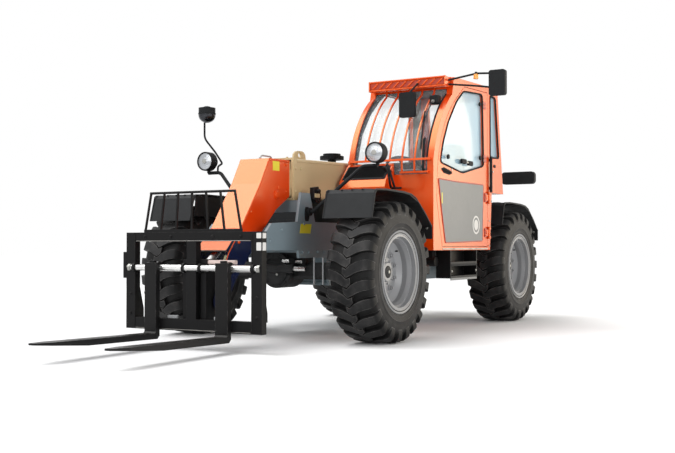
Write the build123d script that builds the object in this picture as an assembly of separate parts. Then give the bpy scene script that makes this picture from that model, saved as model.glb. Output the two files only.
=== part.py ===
from build123d import *
import os
from math import cos, hypot, radians, sin

# A compact telehandler: two steered axles, a centre-pivoted two-section boom with a gooseneck head,
# a fork carriage, a full cab on the left and an engine pod on the right.
# Millimetres. +Z is up, the machine drives towards -Y, its left (cab) side is +X, and the origin is on
# the ground, midway between the axles on the boom's centre plane.

# ---------------------------------------------------------------- overall sizes
WHEELBASE = 2850.0
TRACK = 1900.0
FRONT_Y = -WHEELBASE / 2
REAR_Y = WHEELBASE / 2
LEFT = 1
RIGHT = -1

PIN_GAP = 0.3      # radial clearance of a pin or shaft in its bore
SEAT_GAP = 0.3     # between parts that are fitted but not fastened face to face
MOVE_GAP = 6.0     # between parts that move past each other
WELD = 4.0         # how far shapes reach into each other where they are welded into one piece
CUT = 1.0          # how far a cutting shape runs past the face that it cuts

# ---------------------------------------------------------------- wheels
TYRE_D = 1170.0
TYRE_W = 400.0
AXLE_Z = TYRE_D / 2
RIM_SEAT_R = 305.0
RIM_W = 350.0            # between the flanges
RIM_WALL = 14.0
RIM_FLANGE_R = 342.0
RIM_FLANGE_WALL = 10.0
RIM_STEP_R = 274.0
RIM_WELL_R = 262.0       # inside of the drop centre
RIM_WELL_X = (115.0, 148.0)    # offsets from the wheel's mid plane between which the wall drops
DISC_X = 985.0           # outer face of the wheel disc
DISC_R = 215.0           # its flat part
DISC_DISH = 40.0         # how far its edge stands out beyond the flat part
DISC_WALL = 18.0
HUB_R = 118.0
HUB_BACK = 30.0          # hub drum behind the disc's face
HUB_FRONT = 18.0         # and ahead of it
HUB_NOSE_R = 82.0
HUB_NOSE_X = 1020.0
HUB_CAP_WALL = 14.0
HUB_CHAMFER = 8.0
SPINDLE_R = 55.0

# ---------------------------------------------------------------- axles and knuckles
KINGPIN_X = 740.0
KINGPIN_R = 25.0
BOSS_R = 56.0
BOSS_HALF = 86.0
YOKE_R = 60.0
YOKE_ARM = 34.0
YOKE_WEB_X = 640.0
YOKE_WEB_WALL = 40.0
YOKE_REACH = BOSS_HALF + MOVE_GAP + YOKE_ARM     # half height over the yoke's arms
BEAM_HALF_Y = 68.0
BEAM_HALF_Z = 72.0
BEAM_CHAMFER = 24.0
DIFF_R = 150.0
DIFF_HALF_Y = 125.0
MOUNT_Z = AXLE_Z + DIFF_R + MOVE_GAP    # top of each axle's mount, under the frame's cross plate
MOUNT_HALF_X = 260.0
MOUNT_WALL = 34.0
STEERING_OFFSET = (45.0, 20.0)          # steering cylinder beyond the axle's drop, and above its centre
STEERING_HALF = (210.0, 330.0)          # half lengths of its barrel and of its rod
STEERING_R = (36.0, 18.0)
STEERING_CLAMP_X = 170.0
KNUCKLE_R = 78.0
KNUCKLE_FLANGE_R = 135.0
KNUCKLE_FLANGE_WALL = 24.0
ARM_Y = 30.0                            # near end of the steering arm that carries the fender
ARM_HALF_Z = 30.0
STRAP_X = (702.0, 728.0)
STRAP_Y = (100.0, 160.0)

# ---------------------------------------------------------------- fenders (outline about the axle)
FENDER_X = (670.0, 1120.0)
FENDER_WALL = 8.0
FENDER_TOP_Z = 1256.0
FENDER_RIB_Y = (-220.0, 300.0)
FENDER_RIB_Z = FENDER_TOP_Z - FENDER_WALL - 60.0     # lower edge of the rib on the strap
# y from the axle, z, corner radius
FENDER_OUTER = (
    (-466.0, 1020.0, 0.0),
    (-400.0, FENDER_TOP_Z - 8.0, 30.0),
    (-50.0, FENDER_TOP_Z, 600.0),
    (300.0, FENDER_TOP_Z - 30.0, 200.0),
    (490.0, 1105.0, 200.0),
    (657.0, 968.0, 0.0),
)
FENDER_SKIRT_Z = 700.0     # below every point of the outline

# ---------------------------------------------------------------- main frame
FRAME_HALF = 300.0
PLATE = 25.0
FRAME_INSIDE = FRAME_HALF - PLATE
NOSE_Y = -2148.0
NOSE_Z = (763.0, 908.0)
FRAME_TOP_Z = 1005.0
BELLY_Z = 450.0
BELLY_WALL = 16.0
BELLY_HALF_Y = 1130.0
SADDLE_DEPTH = 44.0  # how far the side plates reach below the tops of the axle mounts
SADDLE_Z = MOUNT_Z - SADDLE_DEPTH    # their lower edge over the axles
SADDLE_HALF_Y = 200.0
SADDLE_RAMP = 80.0
TAIL_Y = 2020.0
TAIL_Z = 520.0
POST_TOP_Z = 1250.0
POST_Y = (-1678.0, -1395.0)          # the front posts' foot
POST_TOP_Y = (-1618.0, -1479.0)
TOWER_HALF_Y = (90.0, 150.0)         # half lengths of the pivot tower's top and shoulder
TOWER_RISE = (120.0, 60.0)           # their heights above the pivot
OUTRIGGER_Y = (-421.0, 466.0)
OUTRIGGER_Z = 655.0
OUTRIGGER_R = 45.0
OUTRIGGER_X = 1000.0
OUTRIGGER_POSTS = ((420.0, 520.0), (880.0, 980.0))
OUTRIGGER_POST_HALF = 35.0
DECK_Z = 760.0     # underside of the cab and of the engine housing
WEIGHT_HALF = 420.0
WEIGHT_LENGTH = 170.0
WEIGHT_Z = (560.0, 940.0)
WEIGHT_CORNER = 40.0
TOW_Y = TAIL_Y + 215.0
TOW_Z = (440.0, 560.0)
TOW_HALF = 70.0
TOW_PLATE = 26.0
TOW_R = 16.5
TOW_ROOT_Y = (TAIL_Y + 60.0, TAIL_Y + 130.0)

# ---------------------------------------------------------------- boom
PIVOT_Y = 1775.0
PIVOT_Z = 1477.0
PIVOT_R = 45.0
PIVOT_BOSS_R = 78.0
PIVOT_HUB_WALL = 14.0      # the frame's hub beyond the boom's boss radius, and beyond the side plate
BOOM_SLOPE = 1.76          # degrees, nose down, when the boom is parked
BOOM_LENGTH = 3322.0       # from the pivot to the outer section's mouth
BOOM_TAIL = 120.0
BOOM_BOSS_PROUD = 20.0
OUTER_HALF_X = 165.0
OUTER_HALF_Z = 175.0
OUTER_WALL = 12.0
OUTER_CORNER = 22.0
COLLAR = (12.0, 62.0)      # the mouth collar's start and end, behind the mouth
COLLAR_PROUD = 8.0
SLIDE_GAP = 8.0            # round the inner section, filled by the wear pads
PAD_LENGTH = 90.0
PAD_HALF = (80.0, 90.0)    # half widths of the side pads and of the top and bottom pads
INNER_WALL = 10.0
INNER_TAIL = 400.0         # from the pivot to the inner section's rear end
TELE_STROKE = 2300.0
INNER_HALF_X = OUTER_HALF_X - OUTER_WALL - SLIDE_GAP
INNER_HALF_Z = OUTER_HALF_Z - OUTER_WALL - SLIDE_GAP
LUG_S = 2950.0             # lifting lug, along the boom from the pivot
LUG_R = 24.0
LUG_WALL = 18.0
LUG_RISE = 52.0
# the lug's side outline: half length, height above the bore
LUG_OUTLINE = ((105.0, -LUG_RISE - WELD), (92.0, 8.0), (62.0, 31.0), (36.0, 37.0))

# ---------------------------------------------------------------- lift cylinder
CYLINDER_END_WALL = 70.0             # solid length between a barrel's eye and its bore
GLAND_LENGTH = 40.0
GLAND_PROUD = 8.0
LIFT_BASE = (1250.0, 830.0)          # (y, z) of the barrel's pin in the frame
LIFT_BASE_R = 66.0
LIFT_BASE_HALF = 66.0
LIFT_EAR_R = 70.0
LIFT_EYE_S = 1700.0                  # eye on the boom, along it from the pivot
LIFT_EYE_DROP = 78.0                 # eye below the outer section
LIFT_BARREL_R = 68.0
LIFT_ROD_R = 38.0
LIFT_BARREL_LENGTH = 1010.0
LIFT_ROD_START = 160.0               # the rod's inner end, from the barrel's pin
LIFT_PIN_R = 32.0
LIFT_EYE_R = 58.0
LIFT_EYE_HALF = 42.0
BRACKET_WALL = 24.0
BRACKET_R = 62.0
BRACKET_ROOT = 130.0                 # half length of the bracket at the boom

# ---------------------------------------------------------------- gooseneck head, tilt cylinder
HEAD_HALF = INNER_HALF_X
HEAD_WALL = 24.0
HEAD_SKIN = 16.0
HEAD_BACK_Y = -1562.0                # upright face that meets the inner boom section
HEAD_BACK_Z = (1222.0, 1532.0)
HEAD_SKIN_Z = 928.0                  # the head is open in front and behind below this height
TILT_PIVOT = (-2530.0, 370.0)        # (y, z) carriage pin in the head's tip
TILT_PIN_R = 34.0
TIP_R = 68.0
TIP_PROUD = 10.0
TILT_BASE = (-1760.0, 1230.0)        # (y, z) of the tilt barrel's pin in the head
TILT_BASE_R = 58.0
TILT_BASE_HALF = 60.0
TILT_EYE = (-2540.0, 640.0)          # (y, z) of its rod's eye, on the carriage
TILT_BARREL_R = 44.0
TILT_ROD_R = 30.0
TILT_BARREL_LENGTH = 690.0
TILT_ROD_START = 190.0               # leaves the rod room to slide in by the carriage's back tilt
TILT_EYE_R = 48.0
TILT_EYE_HALF = 48.0
TILT_EYE_PIN_R = 26.0

# ---------------------------------------------------------------- carriage and forks
CARRIAGE_FRONT_Y = -2715.0
CARRIAGE_DEPTH = 60.0
CARRIAGE_HALF = 650.0
POST_W = 90.0
TOP_BAR_Z = (835.0, 905.0)
BOTTOM_BAR_Z = (150.0, 240.0)
SHAFT_Z = 630.0
SHAFT_Y = -2700.0
SHAFT_R = 25.0
SHAFT_HALF = 608.0
CENTRE_POST_HALF = 45.0
GUSSET_X = (590.0, 606.0)
EAR_X = (60.0, 110.0)
GUARD_TOP_Z = 1210.0
GUARD_HALF = (469.0, 409.0)          # bottom, top
GUARD_BAR = 14.0
GUARD_BARS = 7
GUARD_RAIL = 22.0
GUARD_RAIL_R = 10.0
LEFT_FORK_X = 322.0
RIGHT_FORK_X = 360.0
FORK_W = 115.0
FORK_THICK = 45.0
FORK_TOP_Z = 125.0
FORK_LENGTH = 1200.0
FORK_RISE = 22.0                     # the blade's tip above its heel
FORK_TIP = 14.0
FORK_TAPER = 720.0                   # full thickness ends here, from the shank
FORK_HEEL = 25.0
FORK_ROOT = 12.0                      # the corner between shank and blade, filled at a slant
FORK_EYE_R = 48.0
FORK_EYE_HALF = 35.0
FORK_TIP_CUT = (34.0, 150.0)         # corner cut off each side of the tip, across and along

# ---------------------------------------------------------------- cab
CAB_X = (215.0, 1080.0)
CAB_WALL = 45.0
CAB_FRONT_Y = -655.0
CAB_REAR_Y = 1090.0
CAB_STEP_X = 320.0         # below the step the cab's inner wall clears the frame
CAB_STEP_Z = 1100.0
CAB_ROOF_Z = 2410.0
GLASS = 6.0
SCREEN_Z = (1445.0, 2262.0)
SCREEN_X = (CAB_X[0] + CAB_WALL, CAB_X[1] - 60.0)
SCREEN_DEPTH = 14.0        # glass behind the cab's skin
PANE_DEPTH = 20.0
REAR_WINDOW_X = (CAB_X[0] + 90.0, CAB_X[1] - 90.0)
REAR_WINDOW_Z = (1420.0, 2300.0)
REAR_WINDOW_Y = (850.0, 1200.0)
# (y, z) outlines of the side windows
QUARTER_WINDOW = ((722, 1690), (722, 2318), (868, 2308), (962, 1700))
RIGHT_WINDOW = ((-560, 1400), (-560, 1570), (-470, 1840), (-300, 2055), (-120, 2205), (40, 2300),
                (640, 2310), (640, 1400))
DOOR_WINDOW = ((-505, 1556), (8, 1490), (540, 1592), (508, 2300), (40, 2270), (-135, 2150),
               (-330, 1935), (-450, 1730))
DOOR_REAR_Y = 645.0
DOOR_GAP = 6.0
DOOR_INSET = 5.0           # between the inner faces of the door and of the wall
DOOR_WALL = CAB_WALL - DOOR_INSET
HINGE_X = 1094.0
HINGE_Y = DOOR_REAR_Y + 3.0
HINGE_R = 11.0
HINGE_PIN_R = 6.0
HINGE_LENGTH = 60.0
HINGE_KNUCKLE = 30.0       # length of each fixed knuckle above and below a door barrel
HINGE_Z = (900.0, 1250.0)  # lower end of each of the door's hinge barrels
VISOR_X = (260.0, 1050.0)
VISOR_Y = (-318.0, -180.0)
VISOR_Z = (2275.0, 2368.0)
SCREEN_BAR = 14.0          # square section of the guard's bars
SCREEN_BAR_X = (280.0, 905.0)
SCREEN_BARS = 6
SCREEN_BAR_GAP = 16.0      # between the cab's skin and the bars
CROSS_BAR_X = (225.0, 1060.0)
CROSS_BAR_Z = (1566.0, 1586.0)
FOOT_BAR_X = (760.0, 1040.0)
FOOT_BAR_Z = (1452.0, 1470.0)
BRACKET_W = 24.0
COWL_X = (215.0, 690.0)
COWL_WALL = 8.0
# (y, z) of the cowl's front, from the windscreen's foot down
COWL_FRONT = ((-655.0, 1552.0), (-673.0, 1534.0), (-815.0, 1395.0), (-843.0, 1329.0), (-843.0, 1290.0))
STEP_X = (950.0, 1095.0)
STEP_Y = (-315.0, 325.0)
STEP_Z = (500.0, 630.0)
STEP_PLATE = 14.0
STEP_TREAD = 22.0
WHEEL_X = 650.0            # the steering wheel
WHEEL_YZ = (-340.0, 1505.0)
WHEEL_RING = (185.0, 14.0)
COLUMN_FOOT = (-500.0, 1300.0)
COLUMN_R = 32.0
SEAT_X = (440.0, 860.0)
SEAT_Z = (1110.0, 1230.0)

# ---------------------------------------------------------------- engine pod
POD_X = (-1080.0, -330.0)
POD_Y = (-650.0, 715.0)
POD_WALL = 14.0
POD_RIM_Z = 1050.0
HOOD_TOP_Z = 1300.0
HOOD_REAR_Y = 465.0
HOOD_SLOPE = (1180.0, 160.0)         # height and length of the hood's sloping front
HOOD_CHAMFER = 70.0
HOOD_HINGE_X = -352.0
HOOD_HINGE_Z = HOOD_TOP_Z + 6.0
HOOD_HINGE_Y = (-500.0, 315.0)       # the hood's two hinge barrels
HOOD_BARREL = (-24.0, 40.0)          # a barrel's ends about its place
HOOD_EAR = (-54.0, -30.0)            # and the ends of the ear that holds its pin
HOOD_EAR_X = HOOD_HINGE_X - 2.0
HOOD_EAR_Z = (HOOD_TOP_Z - 60.0, HOOD_TOP_Z + 18.0)
HOOD_LEAF = 60.0
REAR_BOX_TOP_Z = 1400.0
REAR_BOX_CHAMFER = 60.0
ENGINE_X = (-900.0, -480.0)
ENGINE_Y = (-460.0, 340.0)
ENGINE_TOP_Z = 1180.0
INTAKE = (-700.0, 600.0)             # (x, y) of the intake pipe
INTAKE_R = 45.0
INTAKE_CAP_R = 128.0
INTAKE_CAP_Z = (1735.0, 1775.0)
INTAKE_DOME_R = 96.0
INTAKE_DOME_Z = 1800.0

# ---------------------------------------------------------------- lamps and mirrors
LAMP = (884.0, -1345.0, 1580.0)
LAMP_R = 88.0
LAMP_BACK_R = 58.0
LAMP_Y = (-55.0, 15.0, 60.0)         # front of the bowl, its rear edge and the back, about the lamp
RAIL_Z = 1474.0
RAIL_R = 16.0
RAIL_FOOT = (-1500.0, 1090.0)        # (y, z) on the frame's front post
RAIL_FOOT_R = 34.0
RAIL_ELBOW = (745.0, -1352.0)        # (x, y) where the rail turns level
DOME = (-901.0, LAMP[1] - 8.0)       # (x, y) of the dome mirror
DOME_R = 78.0
DOME_Z = (2020.0, 2080.0)            # the bowl's straight rim
STALK_R = 9.0
STALK_FOOT = (-776.0, -1350.4)
CAB_MIRROR_X = (1450.0, 1606.0)
CAB_MIRROR_Y = (-262.0, -212.0)
CAB_MIRROR_Z = (2160.0, 2392.0)
SCREEN_MIRROR_X = (692.0, 848.0)
SCREEN_MIRROR_Y = (-560.0, -520.0)
SCREEN_MIRROR_Z = (1975.0, 2205.0)
REAR_LAMP_X = (700.0, 1090.0)
REAR_LAMP_Y = (2050.0, 2110.0)
REAR_LAMP_Z = (1500.0, 1640.0)
REAR_LAMP_CORNER = 40.0
REAR_ARM = (PIVOT_Y + 125.0, PIVOT_Z - 20.0)
REAR_ARM_R = 20.0


# ================================================================ shape helpers
def block(x, y, z):
    """A square block from its (low, high) pairs along X, Y and Z."""
    size = Box(x[1] - x[0], y[1] - y[0], z[1] - z[0])
    return Pos(sum(x) / 2, sum(y) / 2, sum(z) / 2) * size


def face_yz(outline):
    """A flat face from (y, z) points, to be drawn out by drawn_x."""
    return make_face(Polyline(*outline, close=True))


def drawn_x(face, x):
    """A face drawn on (y, z) made into a solid between the pair x."""
    placed = Plane(origin=(x[0], 0, 0), x_dir=(0, 1, 0), z_dir=(1, 0, 0)) * face
    return extrude(placed, amount=x[1] - x[0], dir=(1, 0, 0))


def prism_x(outline, x):
    """An outline of (y, z) points drawn out along X between the pair x."""
    return drawn_x(face_yz(outline), x)


def prism_y(outline, y):
    """An outline of (x, z) points drawn out along Y between the pair y."""
    face = make_face(Polyline(*[(p[0], y[0], p[1]) for p in outline], close=True))
    return extrude(face, amount=y[1] - y[0], dir=(0, 1, 0))


def prism_z(outline, z):
    """An outline of (x, y) points drawn out along Z between the pair z."""
    face = make_face(Polyline(*[(p[0], p[1], z[0]) for p in outline], close=True))
    return extrude(face, amount=z[1] - z[0], dir=(0, 0, 1))


def inset(face, amount):
    """A face drawn in by amount, with sharp corners."""
    return offset(face, amount=-amount, kind=Kind.INTERSECTION)


def rod(start, end, radius):
    """A round bar between two points."""
    line = Vector(*end) - Vector(*start)
    return extrude(Plane(origin=start, z_dir=line) * Circle(radius), amount=line.length)


def rod_x(centre, x, radius):
    """A round bar along X at centre (y, z) between the pair x."""
    return rod((x[0], *centre), (x[1], *centre), radius)


def tube_path(points, radii, radius):
    """A round bar bent along points, with one bend radius for each inner corner."""
    path = FilletPolyline(*points, radius=radii)
    section = Plane(origin=path @ 0, z_dir=path % 0) * Circle(radius)
    return sweep(section, path=path)


def turned(rows):
    """A solid turned about an axle at Y = 0, from (x, radius) rows."""
    face = make_face(Polyline(*[(x, 0, AXLE_Z + radius) for x, radius in rows], close=True))
    return revolve(face, axis=Axis((0, 0, AXLE_Z), (1, 0, 0)), revolution_arc=360)


def joined(shapes):
    """Several shapes as one."""
    first, *rest = shapes
    for shape in rest:
        first = first + shape
    return first


def on_side(shape, side):
    """A left-hand shape, mirrored when side is RIGHT."""
    return shape if side == LEFT else mirror(shape, about=Plane.YZ)


def both_sides(shape):
    """A left-hand shape with its mirror image."""
    return shape + mirror(shape, about=Plane.YZ)


def boom_place():
    """The boom's own frame: origin on the pivot, -Y along the parked boom."""
    return Pos(0, PIVOT_Y, PIVOT_Z) * Rot(BOOM_SLOPE, 0, 0)


def boom_point(s, rise):
    """(y, z) of a point s ahead of the pivot along the parked boom and rise above its axis."""
    slope = radians(BOOM_SLOPE)
    y = PIVOT_Y - s * cos(slope) - rise * sin(slope)
    z = PIVOT_Z - s * sin(slope) + rise * cos(slope)
    return y, z


def between(start, end, distance):
    """(y, z) of the point distance along the line from start to end."""
    share = distance / hypot(end[0] - start[0], end[1] - start[1])
    return start[0] + (end[0] - start[0]) * share, start[1] + (end[1] - start[1]) * share


def arc_outline(rows):
    """A (y, z) polyline with its corners cut, from (y, z, corner radius) rows."""
    points = []
    for index, (y, z, radius) in enumerate(rows):
        if radius == 0.0:
            points.append((y, z))
            continue
        before = rows[index - 1]
        after = rows[index + 1]
        reach = min(radius, 0.4 * hypot(before[0] - y, before[1] - z))
        reach = min(reach, 0.4 * hypot(after[0] - y, after[1] - z))
        points.append(between((y, z), before, reach))
        points.append(between((y, z), after, reach))
    return points


# ================================================================ wheels, one at the left of Y = 0
def mirrored_rows(half_rows):
    """(x, radius) rows over a wheel from (offset, radius) rows over its outer half."""
    mid = TRACK / 2
    rows = [(mid + x, radius) for x, radius in half_rows]
    return rows + [(mid - x, radius) for x, radius in reversed(half_rows)]


def tyre():
    half = TYRE_W / 2
    crown = TYRE_D / 2
    bead = RIM_W / 2 - SEAT_GAP
    # offset from the wheel's mid plane, radius
    section = (
        (bead, RIM_SEAT_R),
        (bead, RIM_FLANGE_R),
        (half, RIM_SEAT_R + 115),
        (half - 4, crown - 65),
        (half - 24, crown - 15),
        (half - 60, crown),
    )
    return turned(mirrored_rows(section))


def rim():
    half = RIM_W / 2
    lip = half + RIM_FLANGE_WALL
    seat = RIM_SEAT_R - SEAT_GAP
    bore = seat - RIM_WALL
    low, high = RIM_WELL_X
    # offset from the wheel's mid plane, radius: along the inside, round the flange and back
    section = (
        (low, RIM_WELL_R),
        (high, RIM_STEP_R),
        (high, bore),
        (lip, bore),
        (lip, RIM_FLANGE_R),
        (half, RIM_FLANGE_R),
        (half, seat),
        (high, seat),
        (low, RIM_WELL_R + RIM_WALL),
    )
    spindle = SPINDLE_R + PIN_GAP
    edge_x = DISC_X + DISC_DISH
    disc = (
        (DISC_X - DISC_WALL, spindle),
        (DISC_X - DISC_WALL, DISC_R),
        (edge_x - DISC_WALL, RIM_WELL_R + WELD),
        (edge_x, RIM_WELL_R + WELD),
        (DISC_X, DISC_R),
        (DISC_X, spindle),
    )
    hub = (
        (DISC_X - HUB_BACK, spindle),
        (DISC_X - HUB_BACK, HUB_R),
        (DISC_X + HUB_FRONT, HUB_R),
        (DISC_X + HUB_FRONT, HUB_NOSE_R),
        (HUB_NOSE_X - HUB_CHAMFER, HUB_NOSE_R),
        (HUB_NOSE_X, HUB_NOSE_R - HUB_CHAMFER),
        (HUB_NOSE_X, 0),
        (HUB_NOSE_X - HUB_CAP_WALL, 0),
        (HUB_NOSE_X - HUB_CAP_WALL, spindle),
    )
    return turned(mirrored_rows(section)) + turned(disc) + turned(hub)


# ================================================================ axle with its yokes, about Y = 0
def yoke(side):
    """The two arms that hold one kingpin, on their web."""
    inner, outer = side * (YOKE_WEB_X - YOKE_WEB_WALL), side * YOKE_WEB_X
    centre = side * KINGPIN_X
    shape = block(sorted((inner, outer)), (-YOKE_R, YOKE_R), (AXLE_Z - YOKE_REACH, AXLE_Z + YOKE_REACH))
    for low in (AXLE_Z - YOKE_REACH, AXLE_Z + YOKE_REACH - YOKE_ARM):
        high = low + YOKE_ARM
        shape += rod((centre, 0, low), (centre, 0, high), YOKE_R)
        shape += block(sorted((inner, centre)), (-YOKE_R, YOKE_R), (low, high))
        shape -= rod((centre, 0, low - CUT), (centre, 0, high + CUT), KINGPIN_R + PIN_GAP)
    return shape


def steering_cylinder(face):
    """The double-ended steering cylinder on the front (-1) or rear (1) face of an axle."""
    beyond, above = STEERING_OFFSET
    y = face * (DIFF_HALF_Y + beyond)
    z = AXLE_Z + above
    shapes = [rod((-half, y, z), (half, y, z), radius) for half, radius in zip(STEERING_HALF, STEERING_R)]
    for x in (-STEERING_CLAMP_X, STEERING_CLAMP_X):
        shapes.append(block((x - 22, x + 22), sorted((face * (BEAM_HALF_Y - WELD), y)), (z - 28, z + 28)))
    return joined(shapes)


def axle(axle_y, cylinder_face):
    beam = block((-YOKE_WEB_X, YOKE_WEB_X), (-BEAM_HALF_Y, BEAM_HALF_Y),
                 (AXLE_Z - BEAM_HALF_Z, AXLE_Z + BEAM_HALF_Z))
    beam = chamfer(beam.edges().filter_by(Axis.X), BEAM_CHAMFER)
    drop = rod((0, -DIFF_HALF_Y, AXLE_Z), (0, DIFF_HALF_Y, AXLE_Z), DIFF_R)
    mount = block((-MOUNT_HALF_X, MOUNT_HALF_X), (-BEAM_HALF_Y, BEAM_HALF_Y), (AXLE_Z, MOUNT_Z))
    shape = beam + drop + mount + yoke(LEFT) + yoke(RIGHT) + steering_cylinder(cylinder_face)
    return Pos(0, axle_y, 0) * shape


# ================================================================ knuckle and fender, at the left of Y = 0
def knuckle():
    axis = (0, AXLE_Z)
    flange_x = DISC_X - HUB_BACK - MOVE_GAP
    spindle_x = HUB_NOSE_X - HUB_CAP_WALL - MOVE_GAP
    arm_z = (AXLE_Z - ARM_HALF_Z, AXLE_Z + ARM_HALF_Z)
    return joined((
        rod((KINGPIN_X, 0, AXLE_Z - YOKE_REACH), (KINGPIN_X, 0, AXLE_Z + YOKE_REACH), KINGPIN_R),
        rod((KINGPIN_X, 0, AXLE_Z - BOSS_HALF), (KINGPIN_X, 0, AXLE_Z + BOSS_HALF), BOSS_R),
        rod_x(axis, (KINGPIN_X, flange_x), KNUCKLE_R),
        rod_x(axis, (KINGPIN_X, spindle_x), SPINDLE_R),
        rod_x(axis, (flange_x - KNUCKLE_FLANGE_WALL, flange_x), KNUCKLE_FLANGE_R),
        block((STRAP_X[0], KINGPIN_X + 20), (ARM_Y, STRAP_Y[1]), arm_z),
        block(STRAP_X, STRAP_Y, (arm_z[0], FENDER_RIB_Z)),
    ))


def fender():
    outer = arc_outline(FENDER_OUTER)
    inner = []
    for index, (y, z) in enumerate(outer):
        near = outer[max(index - 1, 0)]
        far = outer[min(index + 1, len(outer) - 1)]
        run, rise = far[0] - near[0], far[1] - near[1]
        share = FENDER_WALL / hypot(run, rise)
        inner.append((y + rise * share, z - run * share))
    sheet = prism_x(outer + inner[::-1], FENDER_X)
    below = [(outer[-1][0], FENDER_SKIRT_Z), (outer[0][0], FENDER_SKIRT_Z)]
    rib = block(STRAP_X, FENDER_RIB_Y, (FENDER_RIB_Z, FENDER_TOP_Z))
    return sheet + (rib & prism_x(outer + below, FENDER_X))


# ================================================================ main frame
def frame_side_plates():
    """The two side plates with the pivot hubs and the lift cylinder's ears."""
    tower_top, shoulder = TOWER_HALF_Y
    tower_rise, shoulder_rise = TOWER_RISE
    saddle = SADDLE_HALF_Y
    ramp = SADDLE_HALF_Y + SADDLE_RAMP
    outline = (
        (NOSE_Y, NOSE_Z[0]), (NOSE_Y, NOSE_Z[1]), (NOSE_Y + 83, 982), (POST_Y[0], FRAME_TOP_Z - 4),
        (POST_TOP_Y[0], POST_TOP_Z), (POST_TOP_Y[1], POST_TOP_Z), (POST_Y[1], FRAME_TOP_Z),
        (PIVOT_Y - 2 * shoulder, FRAME_TOP_Z), (PIVOT_Y - shoulder, PIVOT_Z + shoulder_rise),
        (PIVOT_Y - tower_top, PIVOT_Z + tower_rise), (PIVOT_Y + tower_top, PIVOT_Z + tower_rise),
        (PIVOT_Y + shoulder, PIVOT_Z + shoulder_rise), (TAIL_Y, FRAME_TOP_Z), (TAIL_Y, TAIL_Z),
        (REAR_Y + ramp, TAIL_Z), (REAR_Y + saddle, SADDLE_Z), (REAR_Y - saddle, SADDLE_Z),
        (REAR_Y - ramp, BELLY_Z), (FRONT_Y + ramp, BELLY_Z), (FRONT_Y + saddle, SADDLE_Z),
        (POST_Y[0] + 30, SADDLE_Z), (POST_Y[0] + 16, NOSE_Z[0]),
    )
    pivot = (PIVOT_Y, PIVOT_Z)
    hub_x = (OUTER_HALF_X + BOOM_BOSS_PROUD + MOVE_GAP, FRAME_HALF + PIVOT_HUB_WALL)
    ear_x = (LIFT_BASE_HALF + MOVE_GAP, FRAME_INSIDE + WELD)
    side = prism_x(outline, (FRAME_INSIDE, FRAME_HALF))
    side += rod_x(pivot, hub_x, PIVOT_BOSS_R + PIVOT_HUB_WALL)
    side += rod_x(LIFT_BASE, ear_x, LIFT_EAR_R)
    side -= rod_x(pivot, (0, hub_x[1] + CUT), PIVOT_R + PIN_GAP)
    side -= rod_x(LIFT_BASE, (0, FRAME_HALF + CUT), LIFT_PIN_R + PIN_GAP)
    return both_sides(side)


def frame_cross_members():
    """What ties the side plates together, with the boom's pivot pin and the lift cylinder's pin."""
    # y pair, z pair
    cross = (
        ((-1700, -1640), (770, 960)),                                           # nose tube
        ((FRONT_Y - 90, FRONT_Y + 150), (MOUNT_Z, MOUNT_Z + MOUNT_WALL)),       # front axle plate
        ((REAR_Y - 90, REAR_Y + 150), (MOUNT_Z, MOUNT_Z + MOUNT_WALL)),         # rear axle plate
        ((-1535, -1487), (1090, 1190)),                                         # boom rest
        ((-BELLY_HALF_Y, BELLY_HALF_Y), (BELLY_Z, BELLY_Z + BELLY_WALL)),       # belly plate
        ((-1000, -976), (BELLY_Z, 960)),                                        # front bulkhead
        ((TAIL_Y - 150, TAIL_Y - 130), (TAIL_Z, 1180)),                         # tail bulkhead
    )
    shapes = [block((-FRAME_INSIDE, FRAME_INSIDE), y, z) for y, z in cross]
    pin_half = FRAME_HALF + PIVOT_HUB_WALL
    shapes.append(rod_x((PIVOT_Y, PIVOT_Z), (-pin_half, pin_half), PIVOT_R))
    shapes.append(rod_x(LIFT_BASE, (-FRAME_HALF, FRAME_HALF), LIFT_PIN_R))
    return joined(shapes)


def outriggers():
    """The tubes that carry the cab on the left and the engine housing on the right."""
    shapes = []
    for y in OUTRIGGER_Y:
        shapes.append(rod_x((y, OUTRIGGER_Z), (FRAME_HALF, OUTRIGGER_X), OUTRIGGER_R))
        for x in OUTRIGGER_POSTS:
            post_y = (y - OUTRIGGER_POST_HALF, y + OUTRIGGER_POST_HALF)
            shapes.append(block(x, post_y, (OUTRIGGER_Z, DECK_Z)))
    return both_sides(joined(shapes))


def counterweight():
    """The cast tail weight with the two-plate towing jaw below it."""
    cast = block((-WEIGHT_HALF, WEIGHT_HALF), (TAIL_Y, TAIL_Y + WEIGHT_LENGTH), WEIGHT_Z)
    cast = fillet(cast.edges().filter_by(Axis.Z), WEIGHT_CORNER)
    shape = cast + block((-TOW_HALF, TOW_HALF), TOW_ROOT_Y, (TOW_Z[0], TOW_Z[1] + 40))
    for z in (TOW_Z[0], TOW_Z[1] - TOW_PLATE):
        shape += block((-TOW_HALF, TOW_HALF), (TOW_ROOT_Y[0], TOW_Y), (z, z + TOW_PLATE))
        shape += rod((0, TOW_Y, z), (0, TOW_Y, z + TOW_PLATE), TOW_HALF)
    return shape - rod((0, TOW_Y, TOW_Z[0] - CUT), (0, TOW_Y, TOW_Z[1] + CUT), TOW_R)


# ================================================================ boom sections
def box_section(half_x, half_z, wall, y):
    """A closed-sided box tube along Y, open at both ends."""
    tube = block((-half_x, half_x), y, (-half_z, half_z))
    tube = fillet(tube.edges().filter_by(Axis.Y), OUTER_CORNER)
    bore_y = (y[0] - CUT, y[1] + CUT)
    return tube - block((wall - half_x, half_x - wall), bore_y, (wall - half_z, half_z - wall))


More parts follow.
